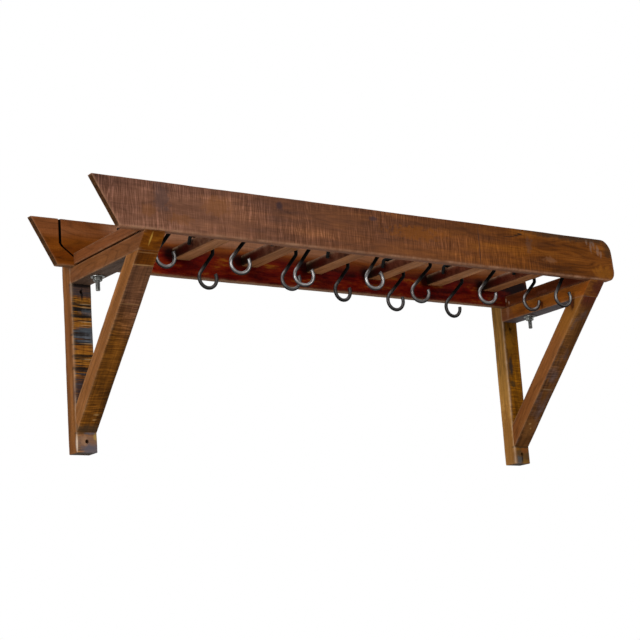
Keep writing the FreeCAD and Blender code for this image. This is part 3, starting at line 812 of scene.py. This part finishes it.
# Two screws through each post, driven from the wall side, hold the back board. Yellow zinc on steel,
# their heads sunk in pockets that the wall hides.
def bright_steel(name, colour, rough, lines, bump, shift=(0.0, 0.0, 0.0)):
    """Bare or plated steel: drawn lines and faint cloudy tarnish in the colour, and in how it shines."""
    material, tree, shader, place = fresh_material(name)
    place = add(tree, "Mapping", {"Vector": place, "Location": shift}).outputs[0]
    tarnish = noise(tree, place, (90, 90, 90), 5, 0.65)
    drawn = noise(tree, place, lines, 2, 0.5)
    dark = tuple(c * 0.45 for c in colour)
    light = tuple(min(1.0, c * 1.25) for c in colour)
    coat = tint(tree, tarnish, (0.28, dark), (0.5, colour), (0.72, light))
    coat = cover(tree, "OVERLAY", 0.5, coat, drawn)
    tree.links.new(coat, shader.inputs["Base Color"])
    tree.links.new(remap(tree, tarnish, 0.3, 0.7, rough + 0.10, rough - 0.05), shader.inputs["Roughness"])
    shader.inputs["Metallic"].default_value = 1.0
    dents = add(tree, "Bump", {"Height": tarnish, "Strength": 0.4, "Distance": bump}).outputs[0]
    tree.links.new(dents, shader.inputs["Normal"])
    return material


screw_zinc = bright_steel("screw_zinc", (0.50, 0.42, 0.24), rough=0.32, lines=(300, 20, 300), bump=0.0001)
recoat("board_screws", screw_zinc)


# Seven slats make the shelf. They are flat bars with rounded top edges, tenoned into both boards
# at half their height, bare and pale underneath, dusty at the front of their sides, and darkened by painted
# shade to nearly black behind.
def dusty_and_shaded_sides(tree, place, grain, sawn, colour):
    """The sides and top, front to back: grey-pink dust, redder on the slats to the right, then painted shade
    that darkens them to dark red and nearly black at the back board."""
    across, back, _ = axes(tree, place)
    dust = tones(tree, noise(tree, place, (60, 60, 60), 4, 0.65),
                 ((0.050, 0.017, 0.008), (0.105, 0.040, 0.020), (0.180, 0.085, 0.050)))
    dust = cover(tree, "MULTIPLY", remap(tree, across, -0.35, 0.30), dust, (0.80, 0.44, 0.35, 1))
    # Painted shade: darker and redder towards the back board, nearly black where the slat meets it.
    shade = turning(tree, back, -0.190, -0.115, dust, (0.030, 0.0010, 0.0004, 1))
    shade = turning(tree, back, -0.110, -0.065, shade, (0.002, 0.0003, 0.0002, 1))
    return cover(tree, "MIX", remap(tree, sawn, 0.65, 0.35, 0.0, 0.96), colour, shade)


slat_count = 7
slat_arris = (0.0045, 0.0045, 0.0015, 0.0015)
slat_stain = ((0.075, 0.030, 0.012), (0.120, 0.050, 0.020), (0.19, 0.085, 0.036))
slat_underside = ((0.16, 0.058, 0.019), (0.28, 0.114, 0.043), (0.40, 0.178, 0.077))
for n in range(slat_count):
    name = "slat_%d" % (n + 1)
    low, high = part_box(name)
    # The top arrises are rubbed pale: partly wear, partly a painted highlight, strongest along the top-left
    # edge.
    slat = sawn_bar(high.z - low.z, high.x - low.x, square_end(shelf_front - let_in),
                    square_end(shelf_back + let_in), (0.0, 0.1, 0.0, 1.0), arris=slat_arris,
                    rubbed=(0.6, 0.5, 0.1, 0.1), rubbed_ends=(0.3, 0.0), sway=0.0001, seed=110 + 4 * n)
    shell = set_out(slat, ((low.x + high.x) / 2, 0, (low.z + high.z) / 2), (0, 1, 0), (0, 0, 1))
    wood = stained_timber(name + "_wood", (0, 0, -math.pi / 2), (0.37 * n, 0.11 * n, 0.23 * n), slat_stain,
                          slat_underside, worn=(0.27, 0.155, 0.090), saw=0.15, streak=0.55, blotch=0.2,
                          marks=dusty_and_shaded_sides)
    solid(name + "_timber", [shell], wood, "rack", [name])


# The front board stands on edge at the slats' front ends, its left end cut to a raking nose and its right
# end rounded. It keeps the saw's fine upright marks, purple-brown at the left and golden at the right.
def front_face(tree, place, grain, clouds):
    """Purple-brown passing into golden brown along the board, greyer and darker towards the top edge."""
    along, _, up = axes(tree, place)
    along = strayed(tree, along, clouds, 0.24)
    up = strayed(tree, up, clouds, -0.016)
    purple = tones(tree, clouds, ((0.058, 0.025, 0.016), (0.120, 0.050, 0.028), (0.195, 0.086, 0.050)))
    golden = tones(tree, clouds, ((0.050, 0.013, 0.001), (0.130, 0.037, 0.004), (0.23, 0.076, 0.010)))
    colour = turning(tree, along, -0.45, 0.42, purple, golden)
    return cover(tree, "MULTIPLY", remap(tree, up, 0.272, 0.300, 0.0, 0.55), colour, (0.55, 0.55, 0.62, 1))


def front_saw(tree, place):
    """The saw's marks, which have been smoothed away towards the round end."""
    along, _, up = axes(tree, place)
    along = sums(tree, "MULTIPLY_ADD", up, 1.2, along)
    return remap(tree, along, 0.60, 0.80, 0.85, 0.10)


def front_swirl(tree, place, grain, sawn, colour):
    """Dark swirling grain lines towards the round end, as the level lines of a slow noise."""
    along = axes(tree, place)[0]
    contours = sums(tree, "PINGPONG", mask(tree, noise(tree, grain, (1.7, 15, 19), 3, 0.45), 22.0), 0.5)
    swirl = mask(tree, remap(tree, contours, 0.0, 0.36, 0.55, 0.0), remap(tree, along, 0.24, 0.44))
    return cover(tree, "MULTIPLY", swirl, colour, (0.30, 0.24, 0.20, 1))


low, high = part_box("front_board")
orange_cloud = (0.165, 0.060, 0.018)
chalky_scuff = (0.20, 0.130, 0.095)
scuff_width = 0.0045
# A dark top edge at the round end. At the left a blue-grey cloud and orange ones, two purple knots, a golden
# flame, one deep kerf, and a check in the grain that curves upwards. Chalky scuffs again at the round end.
front_spots = on_front(
    low.y, 0.01,
    ((0.530, 0.308), (0.170, 0.014), (0.024, 0.015, 0.009), 0.75, 0.6),
    ((0.640, 0.285), (0.016, 0.022), (0.030, 0.017, 0.008), 0.6, 0.6),
    ((-0.583, 0.274), (0.020, 0.034), (0.056, 0.036, 0.034), 0.5, 0.9),
    ((-0.614, 0.246), (0.022, 0.014), orange_cloud, 0.45, 1.0),
    ((-0.540, 0.236), (0.030, 0.012), orange_cloud, 0.45, 1.0),
    ((-0.456, 0.272), (0.036, 0.022), orange_cloud, 0.45, 1.0),
    ((-0.302, 0.290), (0.009, 0.010), (0.036, 0.020, 0.021), 0.85),
    ((-0.060, 0.288), (0.012, 0.006), (0.048, 0.026, 0.026)),
    ((0.055, 0.268), (0.080, 0.016), (0.200, 0.060, 0.006), 0.5, 1.3),
    ((0.235, 0.258), (0.0012, 0.060), (0.030, 0.018, 0.016), 0.75, 0.15),
    *[((0.316 + 0.011 * k, 0.2860 + 0.0006 * k * k), (0.009, 0.0014 + 0.0003 * k), (0.012, 0.007, 0.005),
       0.5 + 0.1 * k, 0.2) for k in range(5)],
    ((0.448, 0.243), (0.020, 0.008), (0.20, 0.092, 0.045), 0.4, 1.4),
    ((0.386, 0.272), (0.010, 0.020), (0.090, 0.046, 0.030), 0.4, 1.2),
    ((0.571, 0.296), (scuff_width, 0.008), chalky_scuff, 0.42, 1.3),
    ((0.584, 0.286), (scuff_width, 0.014), chalky_scuff, 0.42, 1.3),
    ((0.594, 0.292), (scuff_width, 0.010), chalky_scuff, 0.42, 1.3),
    ((0.606, 0.277), (scuff_width, 0.015), chalky_scuff, 0.42, 1.3),
    ((0.616, 0.270), (scuff_width, 0.008), chalky_scuff, 0.42, 1.3),
    ((0.620, 0.226), (0.036, 0.018), (0.25, 0.088, 0.008), 0.4, 1.4),
)
edge_stain = ((0.084, 0.031, 0.014), (0.150, 0.058, 0.028), (0.22, 0.092, 0.048))
front_arris = (0.0016, 0.0016, 0.0034, 0.0016)
front_middle = (0, (low.y + high.y) / 2, board_bottom + board_height / 2)
front_shape = sawn_bar(board_height, board_thickness, raking_nose(low.x), rounded_end, board_sawn,
                       arris=front_arris, rubbed=(0.1, 0.0, 0.9, 0.3), rubbed_ends=(0.6, 0.6), seed=151)
front_wood = stained_timber("front_board_wood", (0, 0, 0), (0.2, 0.15, 0.1), edge_stain, front_face,
                            board_cut, worn=(0.25, 0.130, 0.075), saw=front_saw, pitch=200, streak=0.18,
                            ring=0.08, blotch=0.25, marks=front_swirl, spots=front_spots)
solid("front_board_timber", [set_out(front_shape, front_middle, (1, 0, 0), (0, 0, 1))], front_wood, "rack",
      ["front_board"])


# One carriage bolt holds each cross beam down on its arm. Zinc-plated steel: a low domed head on the
# beam, a plain shank, and a coarse thread whose end stands out under the nut.
bolt_y = -0.112
bolt_radius = 0.005
thread_pitch = 0.0015
thread_depth = 0.0009
thread_start = 0.0008
thread_end = 0.001
head_radius = 0.0115
head_rim = 0.0006
head_edge = 0.0008
head_seat = 0.0002
tip_bevel = 0.0012
tip_taper = 0.0010
tip_pole = 0.0015
shank_relief = 0.0003
bolt_low, bolt_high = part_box("carriage_bolts")
beam_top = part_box("left_cross_beam")[1].z
bolt_zinc = bright_steel("bolt_zinc", (0.21, 0.21, 0.20), rough=0.30, lines=(60, 60, 700), bump=0.0002)


def lathe(profile, turns, wobble=None):
    """A profile of (radius, height) rows carried round Z; wobble(turn, height) adds to the radius."""
    turn = np.linspace(0, 2 * math.pi, turns, endpoint=False)
    radius = profile[:, :1] + 0 * turn
    if wobble is not None:
        radius = radius + wobble(turn, profile[:, 1:])
    return np.stack([radius * np.cos(turn), radius * np.sin(turn), profile[:, 1:] + 0 * turn], -1)


def bolt_shape():
    """Tip to head: a pole, the chamfered tip, the thread as a triangle wave that winds with height, the
    plain shank, the head's flat underside and its dome."""
    tail = np.arange(bolt_low.z + thread_start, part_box("hex_nuts")[1].z, thread_pitch / 8)
    dome = np.linspace(0, math.pi / 2, 12)[:-1]
    rise = bolt_high.z - beam_top - head_rim
    shank = bolt_radius - shank_relief
    under_head = beam_top - head_seat
    profile = np.concatenate([
        [[tip_pole, bolt_low.z], [bolt_radius - tip_bevel, bolt_low.z]],
        np.stack([np.full_like(tail, bolt_radius), tail], -1),
        [[shank, tail[-1] + thread_end], [shank, under_head]],
        [[head_radius - head_edge, under_head], [head_radius, beam_top + head_rim / 2]],
        np.stack([head_radius * np.cos(dome), beam_top + head_rim + rise * np.sin(dome)], -1),
    ])

    def thread(turn, height):
        """How far the bar is cut away: by the thread, or at the tip by the taper."""
        lap = (height / thread_pitch - turn / (2 * math.pi)) % 1.0
        cut = thread_depth * np.abs(2 * lap - 1)
        run_in = np.clip((height - bolt_low.z) / tip_bevel, 0, 1)
        inside = (height > bolt_low.z) & (height <= tail[-1])
        return np.where(inside, -cut * run_in - tip_taper * (1 - run_in), 0.0)

    points = lathe(profile, 36, thread)
    return points, [np.array([0, 0, bolt_low.z]), np.array([0, 0, bolt_high.z])], {}


def at_bolts(shape):
    """The same shape at both bolts."""
    points, ends, marks = shape
    moves = [np.array([x, bolt_y, 0]) for x in bracket_centres.values()]
    return [(points + move, [end + move for end in ends] if ends else None, marks) for move in moves]


solid("carriage_bolts_turned", at_bolts(bolt_shape()), bolt_zinc, "rack", ["carriage_bolts"])


# Under each arm a plain washer spreads the nut's load on the wood. It is a ring stamped from zinc-plated
# steel sheet, its outer edges rolled over by the punch.
washer_low, washer_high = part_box("washers")
washer_radius = (washer_high.y - washer_low.y) / 2
washer_play = 0.0004
washer_hole = bolt_radius + washer_play
roll = np.linspace(0, math.pi / 2, 5)
edge_roll = 0.0006
outer = washer_radius - edge_roll + edge_roll * np.cos(roll)
rise = edge_roll * np.sin(roll)
washer_profile = np.concatenate([
    [[washer_hole, washer_low.z]],
    np.stack([outer[::-1], washer_low.z + edge_roll - rise[::-1]], -1),
    np.stack([outer, washer_high.z - edge_roll + rise], -1),
    [[washer_hole, washer_high.z]],
])
washer_zinc = bright_steel("washer_zinc", (0.30, 0.30, 0.285), rough=0.34, lines=(80, 80, 80), bump=0.0002,
                           shift=(0.3, 0.1, 0.2))
washer_shells = at_bolts((lathe(washer_profile, 48), None, {}))
solid("washers_stamped", washer_shells, washer_zinc, "rack", ["washers"])


# A hexagon nut is turned up under each washer. It is zinc-plated steel, its lower corners bevelled by a cone
# and its top flat against the washer.
nut_low, nut_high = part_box("hex_nuts")
nut_flats = 0.017
nut_bevel = 0.0011
nut_bevel_width = 0.0015
nut_edge = 0.0002
nut_play = 0.0001


def nut_shape():
    """Up the outside and down the hole: the radius is the hexagon's, or the bevel cone's where smaller."""
    shares = np.concatenate([[0, 0.02, 0.06, 0.12, 0.2], np.linspace(0.3, 1, 8)])
    heights = nut_low.z + (nut_high.z - nut_low.z) * shares
    turn = np.linspace(0, 2 * math.pi, 96, endpoint=False)
    hexagon = nut_flats / 2 / np.cos((turn + math.pi / 6) % (math.pi / 3) - math.pi / 6)
    cone = nut_flats / 2 - nut_edge + (heights[:, None] - nut_low.z) / nut_bevel * nut_bevel_width
    outside = np.minimum(hexagon, cone)
    hole = np.full((2, len(turn)), bolt_radius + nut_play)
    radius = np.concatenate([hole[:1], outside, hole[1:]])
    level = np.concatenate([heights[:1], heights, heights[-1:]])[:, None] + 0 * turn
    return np.stack([radius * np.cos(turn), radius * np.sin(turn), level], -1), None, {}


nut_zinc = bright_steel("nut_zinc", (0.22, 0.225, 0.21), rough=0.30, lines=(80, 80, 400), bump=0.0002,
                        shift=(0.1, 0.4, 0.3))
solid("hex_nuts_milled", at_bolts(nut_shape()), nut_zinc, "rack", ["hex_nuts"])


# Fourteen S-hooks hang loose over the slats, two to a slat. Each is one length of blackened round bar, bent
# by hand: square over the slat, a tight bend under it, a straight shank and an open bowl that use has
# worn bright, its grey on the sides that face forward, left and up partly a painted highlight. The lists give
# each hook's place and bends in millimetres and degrees, and its polish.
rod_radius = 0.0040
rod_fillet = 0.0008
rod_unevenness = 0.012
hook_leg = 0.0266
hook_top = 0.0298
hook_tip = (-0.0311, 0.0098)
hook_corner = 0.008
hook_leg_below = 0.003
hook_bend = 0.009
hook_bowl_drop = 0.062
hook_bowl = 0.0215
slat_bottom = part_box("slat_1")[0].z
hook_stations = (70, 186, 65, 199, 94, 143, 77, 190, 118, 215, 100, 213, 46, 155)
hook_bowl_shifts = (9.5, 7.0, 7.5, 11.5, 10.0, 10.0, 10.0, 6.0, -5.0, -2.0, 3.0, -9.0, 12.5, 13.0)
hook_extra_drops = (0.0, 0.0, 0.0, -1.0, 4.0, 1.0, 1.0, 1.0, 8.0, 5.0, 2.0, 9.0, 7.0, -8.0)
hook_lip_angles = (33, 28, 30, 30, 38, 28, 48, 26, 20, 28, 10, 8, 36, 6)
hook_turns = (0, -3, -8, -1, -13, -6, -6, 3, -10, -3, -12, 1, -7, -9)
hook_polish = (1.0, 0.7, 1.05, 0.6, 1.1, 0.85, 1.1, 0.55, 0.85, 0.6, 1.05, 0.5, 0.7, 1.0)
millimetre = 0.001
# The painted highlight on the hooks: weights for the sides facing forward, left and up, towards the lamps,
# and the thresholds that shape it.
highlight_forward = 0.75
highlight_left = 0.45
highlight_up = 0.35
highlight_least = 0.05
worn_by_polish = 0.62
highlight_rise = 0.85


def arc(centre, radius, first, last, count):
    """Points on a circle from one angle to another."""
    turn = np.linspace(first, last, count)
    return centre + radius * np.stack([np.cos(turn), np.sin(turn)], -1)


def run(first, last, gap=0.002):
    """Evenly spaced points on a straight, its ends left out."""
    count = max(3, int(np.linalg.norm(np.subtract(last, first)) / gap))
    return np.linspace(first, last, count)[1:-1]


def hook_line(shift, extra, lip):
    """The bar's centre line in (across the slat, up): the tip's leg, two round corners over the slat, the
    long leg, a bend to the left, the straight that touches bend and bowl, and the bowl to its lip; with
    how far each point is worn bright, which is all round the bowl and fades out half way up the straight."""
    tip = np.array(hook_tip)
    left, right = np.array([-hook_leg, hook_top]), np.array([hook_leg, hook_top])
    along = (left - tip) / np.linalg.norm(left - tip)
    swing = math.acos(along[0])
    reach = hook_corner * math.tan(swing / 2)
    left_centre = left + np.array([reach, -hook_corner])
    right_centre = right + np.array([-hook_corner, -hook_corner])
    bend = np.array([hook_leg - hook_bend, -hook_leg_below])
    bowl = np.array([shift, -hook_bowl_drop - extra])
    between = bowl - bend
    slant = math.asin((hook_bend + hook_bowl) / np.linalg.norm(between))
    heading = math.atan2(between[1], between[0]) - slant
    side = np.array([-math.sin(heading), math.cos(heading)])
    bend_end = math.atan2(side[1], side[0])
    bend_end -= 2 * math.pi * math.ceil(bend_end / (2 * math.pi))
    bowl_start = math.atan2(-side[1], -side[0]) % (2 * math.pi)
    left_round = arc(left_centre, hook_corner, math.pi / 2 + swing, math.pi / 2, 12)
    right_round = arc(right_centre, hook_corner, math.pi / 2, 0, 12)
    turn = arc(bend, hook_bend, 0, bend_end, 14)
    hollow = arc(bowl, hook_bowl, bowl_start, 2 * math.pi + lip, 56)
    black = np.concatenate([
        tip[None], run(tip, left_round[0]), left_round, run(left_round[-1], right_round[0]), right_round,
        run(right_round[-1], turn[0]), turn,
    ])
    shank = run(turn[-1], hollow[0])
    fading = np.linspace(-1.2, 1, len(shank)).clip(0, 1)
    worn = np.concatenate([np.zeros(len(black)), fading, np.ones(len(hollow))])
    return np.concatenate([black, shank, hollow]), worn


def bent_bar(line, worn, polish, seed):
    """A round bar along a flat line: rings square to it, slightly flattened by the bending tools, with
    both ends drawn in over a small rounding to a blunt tip. Its bright mark is wear times a painted highlight
    on the sides that face forward, left and up, towards the lamps, reaching further round the bar the more
    polished the hook is."""
    step = np.gradient(line, axis=0)
    step /= np.linalg.norm(step, axis=1, keepdims=True)
    normal = np.stack([-step[:, 1], step[:, 0]], -1)
    blunt = np.linspace(0, math.pi / 2, 5)[:-1]
    ring = np.clip(np.arange(len(line) + 2 * len(blunt) - 2) - len(blunt) + 1, 0, len(line) - 1)
    draw = rod_fillet * (1 - np.sin(blunt))
    drawn = rod_radius - np.concatenate([draw, np.zeros(len(line) - 2), draw[::-1]])
    inset = rod_fillet * (1 - np.cos(blunt))
    inset = np.concatenate([inset, np.zeros(len(line) - 2), -inset[::-1]])
    spine = line[ring] + step[ring] * inset[:, None]
    normal, worn = normal[ring], worn[ring]
    turn = np.linspace(0, 2 * math.pi, 24, endpoint=False)
    x = spine[:, :1] + drawn[:, None] * np.cos(turn) * normal[:, :1]
    z = spine[:, 1:] + drawn[:, None] * np.cos(turn) * normal[:, 1:]
    y = drawn[:, None] * np.sin(turn)
    points = np.stack([x, y, z], -1)
    axis = np.stack([spine[:, 0], 0 * spine[:, 0], spine[:, 1]], -1)[:, None]
    points = axis + (points - axis) * (1 + rod_unevenness * ripples(points, 0.02, seed)[..., None])
    ends = [np.array([line[0, 0], 0, line[0, 1]]), np.array([line[-1, 0], 0, line[-1, 1]])]
    # Painted highlight: greyer on the sides that face forward, left and up, times the wear.
    facing = np.cos(turn) * (highlight_up * normal[:, 1:] - highlight_left * normal[:, :1])
    facing = facing - highlight_forward * np.sin(turn)
    worn_and_lit_share = np.clip((facing - highlight_least - worn_by_polish * (1 - polish)) / highlight_rise, 0, 1)
    return points, ends, {"bright": worn[:, None] * worn_and_lit_share}


def worn_black_steel():
    """Black oxide over round steel bar, rubbed through to grey metal where the bright mark says: wear, with a
    painted highlight on the sides that face the lamps.
    """
    material, tree, shader, place = fresh_material("hook_steel")
    bright = add(tree, "Attribute", {}, attribute_name="bright").outputs["Fac"]
    scale = noise(tree, place, (420, 420, 420), 4, 0.65)
    clouds = noise(tree, place, (130, 130, 130), 4, 0.6)
    bright = sums(tree, "MULTIPLY", bright, remap(tree, clouds, 0.30, 0.62, 0.86, 1.06))
    black = tones(tree, scale, ((0.0008, 0.0008, 0.0008), (0.0020, 0.0019, 0.0018), (0.006, 0.0056, 0.005)))
    grey = tint(tree, bright, (0.25, (0.022, 0.020, 0.019)), (0.55, (0.085, 0.079, 0.077)),
                (0.80, (0.180, 0.170, 0.166)), (1.0, (0.40, 0.39, 0.385)))
    tree.links.new(turning(tree, bright, 0.02, 0.25, black, grey), shader.inputs["Base Color"])
    tree.links.new(remap(tree, bright, 0.0, 1.0, 0.55, 0.36), shader.inputs["Roughness"])
    tree.links.new(remap(tree, bright, 0.1, 0.5), shader.inputs["Metallic"])
    shader.inputs["Specular IOR Level"].default_value = 0.06
    dents = add(tree, "Bump", {"Height": scale, "Strength": 0.35, "Distance": 0.0002}).outputs[0]
    tree.links.new(dents, shader.inputs["Normal"])
    return material


hook_steel = worn_black_steel()
for n, station in enumerate(hook_stations):
    name = "hook_%02d" % (n + 1)
    line, worn = hook_line(hook_bowl_shifts[n] * millimetre, hook_extra_drops[n] * millimetre,
                           math.radians(hook_lip_angles[n]))
    points, ends, marks = bent_bar(line, worn, hook_polish[n], 200 + n)
    spin = np.array(Matrix.Rotation(math.radians(hook_turns[n]), 3, "Z")).T
    low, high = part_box("slat_%d" % (n // 2 + 1))
    seat = np.array([(low.x + high.x) / 2, shelf_front + station * millimetre, slat_bottom])
    shell = (points @ spin + seat, [e @ spin + seat for e in ends], marks)
    solid(name + "_bar", [shell], hook_steel, name, [name])


# The studio: a plain pale floor well below the rack, even light from a white surround, a large soft
# lamp from the left and the camera where the photograph was taken from, looking slightly up.
floor_mesh = bpy.data.meshes.new("floor")
floor_half = 30.0
floor_level = -1.35
corners = ((-1, -1), (1, -1), (1, 1), (-1, 1))
floor_spots = [(floor_half * x, floor_half * y, floor_level) for x, y in corners]
floor_mesh.from_pydata(floor_spots, [], [(0, 1, 2, 3)])
floor = bpy.data.objects.new("floor", floor_mesh)
bpy.context.scene.collection.objects.link(floor)
floor_paint = bpy.data.materials.new("floor_paint")
floor_paint.use_nodes = True
floor_shader = floor_paint.node_tree.nodes["Principled BSDF"]
floor_shader.inputs["Base Color"].default_value = (0.82, 0.82, 0.81, 1)
floor_shader.inputs["Roughness"].default_value = 0.9
floor_mesh.materials.append(floor_paint)

scene = bpy.context.scene
scene.view_settings.view_transform = "Standard"
world = bpy.data.worlds.new("studio")
world.use_nodes = True
scene.world = world
sky = world.node_tree
surround = sky.nodes["Background"]
surround.inputs["Color"].default_value = (1, 1, 1, 1)
rays = add(sky, "LightPath", {})
seen = sums(sky, "MAXIMUM", rays.outputs["Is Camera Ray"], rays.outputs["Is Glossy Ray"])
seen = sums(sky, "MAXIMUM", seen, rays.outputs["Is Transmission Ray"])
ambient = 0.50
sky.links.new(remap(sky, seen, 0.0, 1.0, ambient, 1.0), surround.inputs["Strength"])


def soft_lamp(name, spot, aim, size, power):
    """A square area lamp at a spot, turned to face an aim."""
    lamp = bpy.data.lights.new(name, "AREA")
    lamp.size = size
    lamp.energy = power
    holder = bpy.data.objects.new(name, lamp)
    holder.location = spot
    holder.rotation_mode = "QUATERNION"
    holder.rotation_quaternion = (Vector(aim) - Vector(spot)).to_track_quat("-Z", "Y")
    bpy.context.scene.collection.objects.link(holder)


soft_lamp("left_lamp", (-9.0, -3.4, 0.9), (0, -0.2, 0.1), 3.0, 520)
soft_lamp("front_lamp", (-1.2, -5.0, 2.0), (0, -0.2, 0.1), 2.2, 105)

camera_spot = Vector((-2.2060, -3.0923, -0.6850))
camera_look = Vector((0.5742, 0.7903, 0.2136)).normalized()
camera_up = Vector((-0.0676, -0.2142, 0.9744))
camera_right = camera_look.cross(camera_up).normalized()
camera_up = camera_right.cross(camera_look)
view = bpy.data.cameras.new("view")
view.lens = 94.51
view.sensor_width = 36.0
view.clip_start = 0.05
view.clip_end = 100.0
camera = bpy.data.objects.new("view", view)
turned = Matrix((camera_right, camera_up, -camera_look)).transposed()
camera.matrix_world = Matrix.Translation(camera_spot) @ turned.to_4x4()
scene.collection.objects.link(camera)
scene.camera = camera
